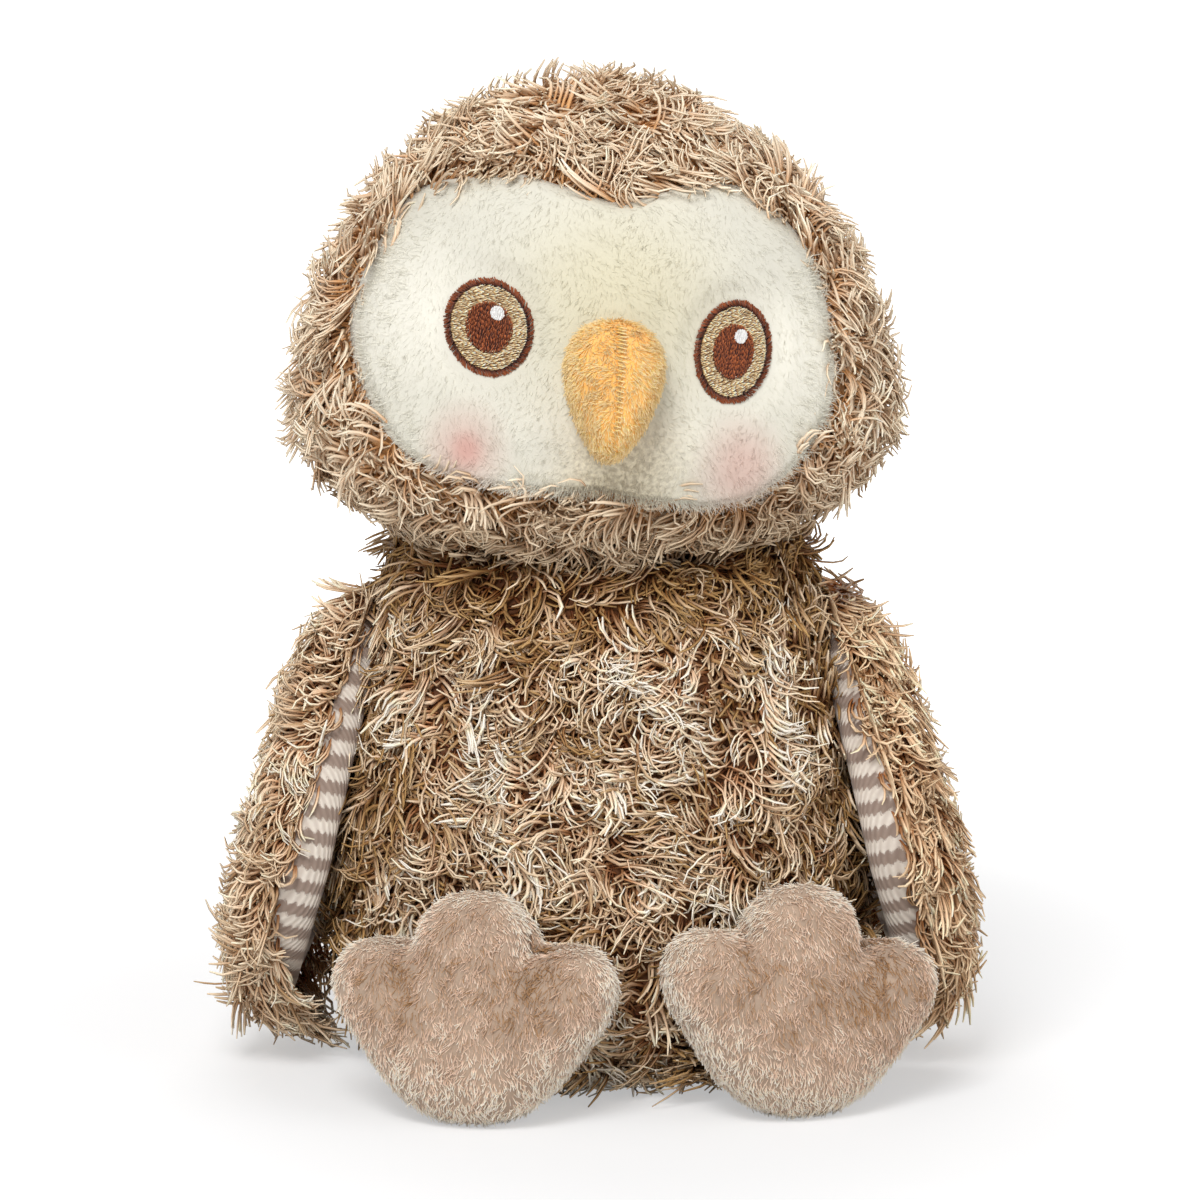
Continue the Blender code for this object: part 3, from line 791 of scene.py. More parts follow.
def pile_node(tree, shades, variation, warmth, brightest):
    """A thread's colour in a material; warmth is how much browner dim threads are, and bright ones paler."""
    falls = (1 - 0.18 * warmth, 1 + 0.06 * warmth, 1 + 0.34 * warmth)
    fed = {label: (*shade, 1) for label, shade in zip(("Root", "Middle", "Tip"), shades)}
    fed["Dim"] = [1 - variation * fall for fall in falls]
    fed["Bright"] = [1 + variation * (1 + 0.1 * warmth * part) for part in range(3)]
    fed["Brightest"] = brightest
    group = bpy.data.node_groups.get("pile_colour") or pile_group()
    return node(tree, "ShaderNodeGroup", fed, node_tree=group).outputs["Color"]


def thread_material(name, shades, variation, warmth, roughness, sheen, shine, outline):
    """The finish of a pile or stitch; shades are its colours at root, middle and tip. Its colour is darkened
    towards each thread's outline as the camera sees it, which is painted shade.
    """
    finish = new_finish(name, roughness, sheen, shine)
    tree = finish[1]
    colour = pile_node(tree, shades, variation, warmth, BRIGHTEST[outline])
    # Painted shade: a Layer Weight darkens the colour towards each thread's outline
    turned = node(tree, "ShaderNodeLayerWeight", {"Blend": 0.5}).outputs["Facing"]
    outline_shade = mix_colours(tree, ranged(tree, turned, 0.45, 1.0), (1, 1, 1), THREAD_OUTLINE_SHADE[outline])
    return coloured(finish, vector_times(tree, colour, outline_shade))


def yarn_material(name, root, colours, lighter, variation, outline="yarn"):
    """The finish of the curly pile: satin yarn, a little lighter on head and wings than on the body."""
    shades = [tint(shade, factor) for shade, factor in zip((root, colours.middle, colours.tip), lighter)]
    return thread_material(
        name, shades, variation, warmth=1.0, roughness=0.45, sheen=0.0, shine=0.25, outline=outline,
    )


def ground_material(name, colour, dark, light, grain=900):
    """The woven ground under a pile: mottled, and rough with the pile's roots. Where it shows between the
    locks, its darker mottling stands in for fur deep in the gaps, so it is in part painted shade.
    """
    finish = new_finish(name, 0.95, 0.2)
    made, tree, shader = finish
    mottle = noise(tree, grain / 6, detail=4)
    bumped(tree, shader, noise(tree, grain, detail=3), strength=0.6, distance=0.4 * MM)
    return coloured(finish, mix_colours(tree, mottle, tint(colour, dark), tint(colour, light)))


def patch(tree, place, across, strength):
    """A soft round patch on Object coordinates, with its full strength in its middle."""
    fed = {0: object_place(tree), 1: place}
    away = node(tree, "ShaderNodeVectorMath", fed, operation="DISTANCE").outputs["Value"]
    return reckon(tree, "MULTIPLY", ranged(tree, away, across, 0.1 * across, "SMOOTHSTEP"), strength)


# Patches of the face, in millimetres: how far aside and up, how wide, and how strong. The temples' patches
# are painted light, and the muzzle's speckle is darkened under the beak as painted shade.

CHEEKS = ((-28, -24, 13, 0.42), (-27.5, -24, 5.5, 0.52), (28.5, -22, 14, 0.46))
MUZZLE_SPECKLE_AND_SHADE = ((3, -26, 20, 0.70), (14, -20, 12, 0.12))
TEMPLES_PAINTED_LIGHT = ((-43, 1, 24, 0.43), (44, 1, 21, 0.38))
WARM_MIDDLE = (0, 9, 34, 0.5)


def face_material(name, colours, with_threads, bright=1.0):
    """Cream plush, warm in its middle, speckled under the beak and darkened there as painted shade, lighter
    at the temples as painted light, with blush sprayed on both cheeks. A brightening above 1 lightens the
    fringe's nap as painted light.
    """
    finish = new_finish(name, 0.95, 0.15)
    made, tree, shader = finish
    if with_threads:
        shades = [tint(colours.cream, factor * bright) for factor in (0.94, 1.0, 1.05)]
        colour = pile_node(tree, shades, 0.05, 1.0, (0.95, 0.94, 0.90))
    else:
        mottle = noise(tree, scale=160, detail=4)
        colour = mix_colours(tree, mottle, tint(colours.cream, 0.93), tint(colours.cream, 1.02))
        bumped(tree, shader, noise(tree, scale=1400, detail=3), strength=0.4, distance=0.2 * MM)
    # The muzzle's speckle, darkened under the beak as painted shade
    speckle = ranged(tree, noise(tree, scale=1100, detail=2), 0.38, 0.62)
    speckle_and_shade = mix_colours(tree, speckle, linear(166, 150, 118), linear(222, 210, 180))
    # Painted light at the temples, where the face turns away
    pale = linear(246, 243, 232)
    middle = ((WARM_MIDDLE,), colours.cream_warm)
    for patches, tone in (middle, (TEMPLES_PAINTED_LIGHT, pale), (MUZZLE_SPECKLE_AND_SHADE, speckle_and_shade), (CHEEKS, colours.blush)):
        for along, up, across, strength in patches:
            share = patch(tree, face_spot(along * MM, up * MM), across * MM, strength)
            colour = mix_colours(tree, share, colour, tone)
    return coloured(finish, colour)


RIB = 0.55 * MM


def lining_material(name, colours, stripe, place, shift):
    """Striped jersey: bands across the wing, and fine ribs of knit along it that jog their edges."""
    finish = new_finish(name, 0.9, 0.2)
    made, tree, shader = finish
    back = place.inverted()
    fed = {"Vector": object_place(tree), "Location": back.translation, "Rotation": back.to_euler()}
    local = node(tree, "ShaderNodeMapping", fed, vector_type="POINT").outputs["Vector"]
    fed = {"Vector": local, "Scale": math.tau / RIB / 20}
    ribs = node(tree, "ShaderNodeTexWave", fed, bands_direction="X").outputs["Fac"]
    fed = {0: ribs, 1: (0, 0.7 * MM, 0), 2: local}
    jogged = node(tree, "ShaderNodeVectorMath", fed, operation="MULTIPLY_ADD").outputs[0]
    fed = {
        "Vector": jogged, "Scale": math.tau / stripe / 20, "Distortion": 0.9, "Detail Scale": 60,
        "Phase Offset": shift,
    }
    bands = node(tree, "ShaderNodeTexWave", fed, bands_direction="Y").outputs["Fac"]
    colour = mix_colours(tree, ranged(tree, bands, 0.36, 0.64), colours.stripe_dark, colours.stripe_light)
    wale = reckon(tree, "MULTIPLY", ribs, noise(tree, scale=900, detail=3))
    bumped(tree, shader, ribs, strength=0.5, distance=0.2 * MM)
    between = mix_colours(tree, wale, (0.72, 0.68, 0.66), (1, 1, 1))
    return coloured(finish, vector_times(tree, colour, between))


# Looks of the piles

def curly_look(pile, lift, final, length, swirl, mottle):
    return {
        "threads": pile.threads, "points": 6, "length": pile.length * length, "thick": pile.thick,
        "swirl": swirl, "swirl_size": 0.018, "unruly": 0.4, "curl": 0.9, "fan": 0.20, "stray": 0.09,
        "lift": lift, "final": final, "root_spread": 2.2 * MM, "sink": 0.6 * MM,
        "dark": 0.0, "mottle": mottle,
    }


def under_look(pile, swirl):
    """Short flat threads that fill in between the locks, darker there as painted shade of the deep gaps."""
    look = curly_look(pile, lift=0.35, final=0.0, length=0.62, swirl=swirl, mottle=0.9)
    return look | {"threads": 4, "points": 3, "thick": pile.thick * 1.35, "sink": 0.2 * MM, "dark": 0.32}


def short_look(length, thick, lift, swirl=0.8, points=2, swirl_size=0.02):
    return {
        "threads": 1, "points": points, "length": length, "thick": thick, "swirl": swirl,
        "swirl_size": swirl_size, "unruly": 0.35, "curl": 0.4, "fan": 0.1, "stray": 0.1, "lift": lift,
        "final": 0.1, "root_spread": 0.0, "sink": 0.1 * MM, "dark": 0.0, "mottle": 1.0,
    }


def dress(piece, body, slot, *nodes):
    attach(piece, body)
    if nodes:
        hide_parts(*nodes)


def stand_locks(base, rng, pile, look, apart, wanted, laid):
    """Curly and under locks on a base, which then goes; laid(roots, normals, look) makes their threads."""
    parts = []
    for kind, step in ((look, 1.0), (under_look(pile, look["swirl"]), apart)):
        roots, normals = even_scatter(base, pile.spacing * step, rng, wanted)
        parts.append(laid(roots, normals, dict(kind)))
    bpy.data.objects.remove(base)
    return parts


def pile_pieces(name, part, finish, body):
    """Shares the threads among several pieces, each under its limit of faces, by where their roots are."""
    lines, radii, shades = part
    ranked = np.argsort(lines[:, 0, 1])
    for number, chosen in enumerate(np.array_split(ranked, math.ceil(len(lines) / MOST_THREADS))):
        piece = threads(f"{name}_{number + 1}", lines[chosen], radii[chosen], shades[chosen], finish)
        dress(piece, body, "fur_plush")


class OWL_OT_head(bpy.types.Operator):
    """Makes the head's ground fabric and its curly pile."""

    bl_idname = "owl.head"
    bl_label = "Head"

    def execute(self, context):
        pile = context.scene.owl_pile
        colours = context.scene.owl_colours
        rng = np.random.default_rng(SEEDS["head"])
        ground = ground_material("head_ground", colours.head_root, dark=0.75, light=1.2)
        neck = ((0, 0, HEAD_LOW.z), (0, 0, -1))
        cover = skin("head_ground_fabric", head_skin, COVER_FACETS, ground, -2.4 * MM, [neck])
        self.window(cover)
        dress(cover, "head", "fur_plush", "head_cover")
        base = skin("head_roots", head_skin, ROOT_FACETS, None, -2 * MM, [neck])

        def wanted(places):
            beside = 1.02 - 0.05 * ramp(places[:, 2], FACE_CENTRE.z, 20 * MM)
            return (face_share(places) > beside) & (places[:, 2] > NECK_HEIGHT + 1.5 * MM)

        def laid(roots, normals, look):
            chin = ramp(roots[:, 2:], CHIN_HEIGHT, -20 * MM)
            # The head's under threads get only a fifth of the painted gap shade
            look |= {
                "swirl_size": 0.013, "unruly": 0.6, "dark": look["dark"] * 0.2,
                "curl": look["curl"] * (1 + 0.5 * chin),
            }
            above = ramp(roots[:, 2], FACE_CENTRE.z, 16 * MM)
            weight = ramp(face_share(roots), 1.22, -0.2) * (0.15 + 0.45 * above)
            inward = unit_rows(along_surface(np.array(FACE_CENTRE) - roots, normals))
            lines, radii, shades = curl_locks(rng, roots, normals, look, self.room(roots), (inward, weight))
            # Painted shade: the pile is darker low on the head, under the chin
            return lines, radii, shades - 0.85 * ramp(lines[:, 0, 2], 0.134, -0.014)

        look = curly_look(pile, lift=0.85, final=0.2, length=0.95, swirl=1.8, mottle=0.75)
        part, under = stand_locks(base, rng, pile, look, 0.86, wanted, laid)
        lighter = (1.3, (1.30, 1.38, 1.44), (0.93, 0.93, 0.92))
        colour = yarn_material("head_pile", colours.head_root, colours, lighter, 0.28, "head")
        pile_pieces("head_under_pile", under, colour, "head")
        pile_pieces("head_pile", part, colour, "head")
        return {"FINISHED"}

    def room(self, places):
        """How high the pile may stand: less on the brow's own left, under the cheeks and round the neck."""
        brow = bump(places[:, 0], places[:, 2], (28 * MM, 0.200), 18 * MM, 16 * MM)
        low = ramp(places[:, 2], CHIN_HEIGHT, -20 * MM)
        aside = ramp(np.abs(places[:, 0] - HEAD_CENTRE.x) / HEAD_HALF_WIDTH, 0.5, 0.25)
        return 7.5 * MM - 5.0 * MM * brow - (1.5 + 4.0 * aside) * MM * low

    def window(self, cover):
        """Opens the ground fabric where the mask is sewn in."""
        bm = bmesh.new()
        bm.from_mesh(cover.data)
        middles = np.array([face.calc_center_median() for face in bm.faces])
        inside = face_share(middles) < 0.88
        bmesh.ops.delete(bm, geom=[face for face, gone in zip(bm.faces, inside) if gone], context="FACES")
        bm.to_mesh(cover.data)
        bm.free()
        thicken(cover, WALL / 2)


class OWL_OT_face(bpy.types.Operator):
    """Makes the cream face mask with its short pile."""

    bl_idname = "owl.face"
    bl_label = "Face"

    def execute(self, context):
        colours = context.scene.owl_colours
        rng = np.random.default_rng(SEEDS["face"])

        def laid(along, up, share):
            swell = 1.3 * MM * ramp(share, 0.70, 0.24) ** 1.5
            tuck = 2.6 * MM * ramp(share, 0.94, 0.06) ** 1.5
            return face_places(along, up, swell - tuck)

        def edge(angle):
            return mask_edge(angle) * 1.02

        plush = face_material("face_plush", colours, False)
        mask = disc("face_plush_panel", edge, laid, (84, 64), plush)
        roots, normals = scatter(mask, FACE_THREADS, rng)
        thicken(mask, WALL)
        dress(mask, "head", "cream_face_plush", "face_mask")
        local = into(FACE_FRAME, roots)
        clear = np.minimum(*(eye_share(local[:, 0], local[:, 2], side) for side in (-1, 1))) > 1.02
        look = short_look(context.scene.owl_sizes.face_pile, thick=0.055 * MM, lift=0.2)
        lines, radii, shades = curl_locks(rng, roots[clear], normals[clear], look)
        pile = threads("face_pile", lines, radii, shades, face_material("face_pile", colours, True))
        dress(pile, "head", "cream_face_plush")
        # Painted light: the fringe's nap is made lighter against the shade at the mask's edge
        self.fringe(rng, face_material("face_fringe", colours, True, 1.14))
        return {"FINISHED"}

    def fringe(self, rng, nap):
        """The longer nap at the mask's edge, which lies out over the seam."""
        angle = rng.uniform(-math.pi * 1.12, math.pi * 0.14, FRINGE_THREADS)
        share = 0.985 - 0.13 * rng.random(FRINGE_THREADS) ** 2
        along = share * mask_edge(angle) * np.cos(angle)
        up = share * mask_edge(angle) * np.sin(angle)
        roots = face_places(along, up, 0.6 * MM)
        out = unit_rows(face_places(along * 1.03, up * 1.03) - face_places(along, up))
        look = short_look(length=3.4 * MM, thick=0.06 * MM, lift=0.45, points=3)
        pull = (out, np.full(FRINGE_THREADS, 0.85))
        lines, radii, shades = curl_locks(rng, roots, face_normals(along, up), look, pull=pull)
        # Painted light: each fringe thread's shade is raised by 0.3
        dress(threads("face_fringe", lines, radii, shades + 0.3, nap), "head", "cream_face_plush")


EYE_HALVES = {"left": (8.3 * MM, 10.2 * MM), "right": (8.9 * MM, 9.6 * MM)}
RIM_WIDTH = 1.45 * MM
RIM_STITCHES = 270
PUPIL_SHARE = 0.53
HIGHLIGHT_RADIUS = 1.4 * MM
HIGHLIGHT_PLACE = (1.4 * MM, 3.1 * MM)

# For each thread fill: its slot, its height over the face in millimetres, how much its threads vary, and
# their screen colours at root, middle and tip

EYE_FILLS = {
    "rim": ("dark_brown_thread", 0.25, 0.55, (40, 17, 9), (72, 31, 15), (140, 72, 36)),
    "iris": ("tan_thread", 0.42, 0.55, (132, 88, 42), (230, 190, 130), (255, 248, 220)),
    "pupil": ("red_brown_thread", 0.62, 0.55, (52, 18, 8), (98, 40, 18), (170, 92, 44)),
    "highlight": ("white_thread", 0.85, 0.1, (240, 241, 243), (249, 249, 248), (250, 250, 249)),
}


class OWL_OT_eyes(bpy.types.Operator):
    """Embroiders both eyes: a satin rim, a stitched iris and pupil and a white highlight."""

    bl_idname = "owl.eyes"
    bl_label = "Eyes"

    def execute(self, context):
        self.thick = context.scene.owl_sizes.stitch
        self.finishes = {}
        for label, (_, _, variation, *tones) in EYE_FILLS.items():
            tones = [linear(*tone) for tone in tones]
            self.finishes[label] = thread_material(
                f"{label}_thread", tones, variation,
                warmth=0.6, roughness=0.38, sheen=0.0, shine=0.3, outline="stitch",
            )
        for number, (side_name, side) in enumerate(SIDES.items()):
            rng = np.random.default_rng(SEEDS["eyes"] + number)
            middle = np.array((side * EYE_SPREAD, EYE_RAISE))
            halves = np.array(EYE_HALVES[side_name])
            pupil = halves * PUPIL_SHARE
            light = np.full(2, HIGHLIGHT_RADIUS)
            spark = middle + HIGHLIGHT_PLACE
            self.rim(side_name, middle, halves, rng)
            iris = halves - RIM_WIDTH * 0.9
            self.fill(side_name, "iris", middle, iris, rng, angle=0.35, hole=pupil, hole_middle=middle)
            self.fill(side_name, "pupil", middle, pupil, rng, angle=1.4, hole=light, hole_middle=spark)
            self.fill(side_name, "highlight", spark, light, rng, angle=1.3)
        return {"FINISHED"}

    def backing(self, name, middle, size, lift, finish):
        """The stitched patch under the top threads, a closed disc."""
        def edge(angle):
            return 1 / np.hypot(np.cos(angle) / size[0], np.sin(angle) / size[1])

        def laid(along, up, share):
            return face_places(along + middle[0], up + middle[1], lift - 0.5 * MM * ramp(share, 0.9, 0.1))

        return thicken(disc(name, edge, laid, (28, 28), finish), 0.5 * MM)

    def stitched(self, side_name, label, starts, ends, arch, levels, thick, patch_of, rng):
        """One fill: threads that run over the face from starts to ends and arch a little, and a patch."""
        share = np.linspace(0, 1, 4)
        along, up = (starts[:, [k]] + (ends[:, [k]] - starts[:, [k]]) * share for k in (0, 1))
        rise = levels[:, None] + arch * np.sin(share * math.pi)
        lines = face_places(along.ravel(), up.ravel(), rise.ravel()).reshape(*along.shape, 3)
        slot = EYE_FILLS[label][0]
        finish = self.finishes[label]
        radii = np.full(along.shape, thick)
        made = threads(f"{side_name}_{label}_stitches", lines, radii, rng.uniform(0, 1, len(lines)), finish)
        under = self.backing(f"{side_name}_{label}_ground", *patch_of, finish)
        dress(under, "head", slot, f"{side_name}_eye_{label}")
        dress(made, "head", slot)

    def rim(self, side_name, middle, halves, rng):
        """Satin stitches that run outwards all round the eye."""
        turn = np.linspace(0, math.tau, RIM_STITCHES, endpoint=False) + rng.normal(0, 0.01, RIM_STITCHES)
        slant = 0.10 + rng.normal(0, 0.03, RIM_STITCHES)
        outer = 1 + rng.normal(0, 0.012, RIM_STITCHES)
        starts = middle + (halves - RIM_WIDTH) * np.stack([np.cos(turn - slant), np.sin(turn - slant)], 1)
        ends = middle + halves * outer[:, None] * np.stack([np.cos(turn), np.sin(turn)], 1)
        lift = EYE_FILLS["rim"][1] * MM
        levels = np.full(RIM_STITCHES, lift)
        patch_of = (middle, halves - 0.2 * MM, lift)
        self.stitched(side_name, "rim", starts, ends, 0.55 * MM, levels, self.thick * 1.2, patch_of, rng)

    def fill(self, side_name, label, middle, size, rng, angle, hole=None, hole_middle=None):
        """Rows of short stitches inside an ellipse, with a hole left for the next fill."""
        reach = max(size)
        length = 1.0 * MM
        starts, ends = [], []
        for row in np.arange(-reach, reach, self.thick * 1.5):
            shift = rng.uniform(0, length)
            for first in np.arange(-reach - shift, reach + length, length):
                starts.append((first, row))
                ends.append((first + length * 1.08, row + rng.normal(0, 0.14 * MM)))
        turn = np.array([[math.cos(angle), math.sin(angle)], [-math.sin(angle), math.cos(angle)]])
        starts, ends = self.clipped(np.array(starts) @ turn, np.array(ends) @ turn, size, rng)
        if hole is not None:
            away = ((starts + ends) / 2 + middle - hole_middle) / hole
            outside = np.hypot(away[:, 0], away[:, 1]) > 0.92
            starts, ends = starts[outside], ends[outside]
        lift = EYE_FILLS[label][1] * MM
        levels = lift + rng.uniform(-0.05, 0.05, len(starts)) * MM
        patch_of = (middle, size, lift - 0.08 * MM)
        starts, ends = starts + middle, ends + middle
        self.stitched(side_name, label, starts, ends, 0.10 * MM, levels, self.thick, patch_of, rng)

    def clipped(self, starts, ends, size, rng):
        """Keeps the parts of the stitches that lie inside the ellipse, with a slightly uneven edge."""
        run = ends - starts
        scaled_start = starts / size
        scaled_run = run / size
        a = (scaled_run ** 2).sum(1)
        b = 2 * (scaled_start * scaled_run).sum(1)
        c = (scaled_start ** 2).sum(1) - (1 + rng.normal(0, 0.02, len(starts)))
        inside = b ** 2 - 4 * a * c
        reach = np.sqrt(np.maximum(inside, 0))
        low = np.clip((-b - reach) / (2 * a), 0, 1)
        high = np.clip((-b + reach) / (2 * a), 0, 1)
        kept = (inside > 0) & (high - low > 0.12)
        return tuple((starts + run * share[:, None])[kept] for share in (low, high))


BEAK_HALF_WIDTH = 9.2 * MM
BEAK_HALF_HEIGHT = 14.2 * MM
BEAK_REACH = 16.5 * MM
BEAK_BELOW_FACE = 7.5 * MM
BEAK_TAPER = 0.38
BEAK_HOOK = 0.30
BEAK_THREADS = 9000
SEAM_STITCHES = 24


class OWL_OT_beak(bpy.types.Operator):
    """Makes the two-panel beak, its pile and its seam."""

    bl_idname = "owl.beak"
    bl_label = "Beak"

    def execute(self, context):
        colours = context.scene.owl_colours
        rng = np.random.default_rng(SEEDS["beak"])
        root = face_spot(0.0, -BEAK_BELOW_FACE)
        turn = np.array(FACE_TURN)

        def beak_skin(unit, lift=0.0):
            widen = 1 + BEAK_TAPER * unit[:, 2]
            jut = 1 - BEAK_HOOK * unit[:, 2]
            crease = 0.9 * MM * np.exp(-(unit[:, 0] / 0.10) ** 2) * (unit[:, 1] < 0)
            local = np.stack([
                (BEAK_HALF_WIDTH + lift) * unit[:, 0] * widen,
                (BEAK_REACH + lift) * unit[:, 1] * jut + crease,
                (BEAK_HALF_HEIGHT + lift) * unit[:, 2],
            ], 1)
            return local @ turn.T + root

        def wanted(places):
            return ((places - root) @ -turn[:, 1]) > -6 * MM

        plush = ground_material("beak_plush", colours.orange, (0.95, 0.74, 0.45), light=1.0, grain=1500)
        body = skin("beak_plush_panels", beak_skin, (72, 48), plush)
        dress(body, "head", "orange_beak_plush", "beak_left_panel", "beak_right_panel", "beak_stuffing")
        roots, normals = scatter(body, BEAK_THREADS, rng, wanted)
        look = short_look(length=1.8 * MM, thick=0.13 * MM, lift=0.75, swirl_size=6 * MM)
        factors = ((0.90, 0.60, 0.26), (1.04, 1.08, 0.92), (1.05, 1.28, 2.0))
        tones = [tint(colours.orange, factor) for factor in factors]
        nap = thread_material(
            "beak_pile", tones,
            variation=0.18, warmth=0.4, roughness=0.8, sheen=0.05, shine=0.1, outline="beak",
        )
        pile = threads("beak_pile", *curl_locks(rng, roots, normals, look), nap)
        dress(pile, "head", "orange_beak_plush")
        seam = threads("beak_seam_stitches", *self.seam(beak_skin), nap)
        dress(seam, "head", "orange_beak_plush")
        return {"FINISHED"}

    def seam(self, beak_skin):
        """Short stitches across the ridge, where the two panels meet."""
        rise = np.linspace(-0.35, 1.2, SEAM_STITCHES)
        ends = []
        for side in (-1, 1):
            unit = np.column_stack([np.full(SEAM_STITCHES, side * 0.085), -np.cos(rise), np.sin(rise)])
            ends.append(beak_skin(unit_rows(unit), 0.7 * MM))
        start, end = ends
        end = end - (end - np.roll(end, 1, axis=0)) * 0.3 * (np.arange(SEAM_STITCHES) > 0)[:, None]
        places = start[:, None, :] + (end - start)[:, None, :] * np.linspace(0, 1, 4)[None, :, None]
        return places, np.full((SEAM_STITCHES, 4), 0.15 * MM), np.full(SEAM_STITCHES, 0.7)


class OWL_OT_body(bpy.types.Operator):
    """Makes the body's ground fabric and its curly pile."""

    bl_idname = "owl.body"
    bl_label = "Body"

    def execute(self, context):
        pile = context.scene.owl_pile
        colours = context.scene.owl_colours
        rng = np.random.default_rng(SEEDS["body"])
        ground = ground_material("body_ground", colours.root, (0.45, 0.55, 0.8), (0.9, 1.1, 1.6))
        cuts = [((0, 0, BODY_HIGH.z), (0, 0, 1)), ((0, 0, 0), (0, 0, -1))]
        cover = skin("body_ground_fabric", body_skin, COVER_FACETS, ground, -1.9 * MM, cuts)
        dress(cover, "torso", "fur_plush", "body_cover")
        base = skin("body_roots", body_skin, ROOT_FACETS, None, ROOT_LEVEL, cuts)

        def wanted(places):
            return (places[:, 2] > 1.5 * MM) & (places[:, 2] < NECK_HEIGHT - 0.5 * MM)

        def laid(roots, normals, look):
            corner = self.corner(roots)
            look |= {"swirl_size": 0.014, "unruly": 0.5, "lift": look["lift"] + 0.6 * corner[:, None]}
            lines, radii, shades = curl_locks(rng, roots, normals, look, self.room(roots) + 7 * MM * corner)
            lines[..., 2] = np.clip(lines[..., 2], GROUND_GAP, NECK_HEIGHT + 5 * MM)
            # Painted shade: the pile darkens towards the neck, under the head
            shades -= 0.45 * ramp(lines[:, 0, 2], 0.092, 18 * MM)
            # Painted shade: the pile is darker on the flanks behind the wings
            shades -= 0.35 * self.wing_shade_share(lines[:, 0])
            return lines, radii, shades

        look = curly_look(pile, lift=0.6, final=0.0, length=1.0, swirl=1.7, mottle=1.35)
        parts = stand_locks(base, rng, pile, look, 0.80, wanted, laid)
        colour = yarn_material("body_pile", colours.root, colours, (1.0, 1.0, 1.0), 0.62)
        parts += [self.heel_locks(rng, side_name, pile) for side_name in SIDES]
        labels = ("body_pile", "body_under_pile", "left_heel_pile", "right_heel_pile")
        for label, part in zip(labels, parts):
            pile_pieces(label, part, colour, "torso")
        return {"FINISHED"}

    def heel_locks(self, rng, side_name, pile):
        """Locks that run from under the body out to the foot's heel, where the foot is sewn on."""
        hinge = np.array(HINGES[f"{side_name}_foot_tip"])
        out = foot_way(side_name)
        toward = math.atan2(hinge[1] / BODY_HALF_DEPTH, hinge[0] / BODY_HALF_WIDTH)
        around = toward + rng.uniform(-0.42, 0.42, HEEL_LOCKS)
        low = rng.uniform(-0.80, -0.40, HEEL_LOCKS)
        flat = np.sqrt(1 - low ** 2)
        roots = body_skin(np.column_stack([np.cos(around) * flat, np.sin(around) * flat, low]), ROOT_LEVEL)
        look = curly_look(pile, lift=0.3, final=-0.1, length=1.0, swirl=0.3, mottle=1.2)
        look["length"] = 1.25 * np.maximum((hinge - roots) @ out, 3 * MM)[:, None]
        up = np.tile([0.0, 0.0, 1.0], (HEEL_LOCKS, 1))
        lines, radii, shades = curl_locks(rng, roots, up, look, pull=(out, np.full(HEEL_LOCKS, 0.9)))
        over = np.maximum((lines - hinge) @ out + 0.1 * MM, 0)
        lines -= over[..., None] * out
        lines[..., 2] = np.maximum(lines[..., 2], GROUND_GAP)
        # Painted shade: the heel locks are a little darker, as they lie under the body
        return lines, radii, shades - 0.25

    def corner(self, places):
        """1 low on the flanks, where the pile spreads out between wing and foot, 0 elsewhere."""
        low = ramp(places[:, 2], 34 * MM, -12 * MM) * (places[:, 1] < 12 * MM)
        return low * ramp(np.abs(places[:, 0]), 30 * MM, 8 * MM)

    def wing_shade_share(self, places):
        """1 on the flanks that the wings cover, 0 on the belly and the back; the pile there is darkened as
        painted shade.
        """
        return ramp(np.abs(places[:, 0]), 36 * MM, 10 * MM) * (np.abs(places[:, 1]) < 34 * MM)

    def room(self, roots):
        """How high the pile may stand over each root: little under the wings and behind the feet."""
        room = np.full(len(roots), 6 * MM)
        for side_name in SIDES:
            local = into(wing_frame(side_name), roots)
            outline = wing_outline(np.arctan2(local[:, 1], local[:, 0]))
            under = np.hypot(local[:, 0], local[:, 1]) < 1.05 * np.linalg.norm(outline, axis=1)
            near = under & (local[:, 2] > -12 * MM)
            room = np.where(near, np.minimum(room, -local[:, 2] - 0.4 * MM), room)
            off = roots - np.array(HINGES[f"{side_name}_foot_tip"])
            way = foot_way(side_name)
            sideways = np.abs(off @ np.array([-way[1], way[0], 0.0]))
            behind = (sideways < FOOT_HALF_WIDTH * 0.8) & (roots[:, 2] < 38 * MM)
            room = np.where(behind, np.minimum(room, -off @ way + 0.6 * MM), room)
        return np.maximum(room, 0.7 * MM)


# Painted light and shade: factors for the pile's middle and tip, lighter on the right wing and darker and
# browner on the left, though both wings are of one yarn
WING_LIGHT_AND_SHADE_TONES = {
    "left": ((0.98, 0.84, 0.64), (0.94, 0.86, 0.76)), "right": ((1.24, 1.32, 1.38), (0.98, 0.96, 0.94)),
}


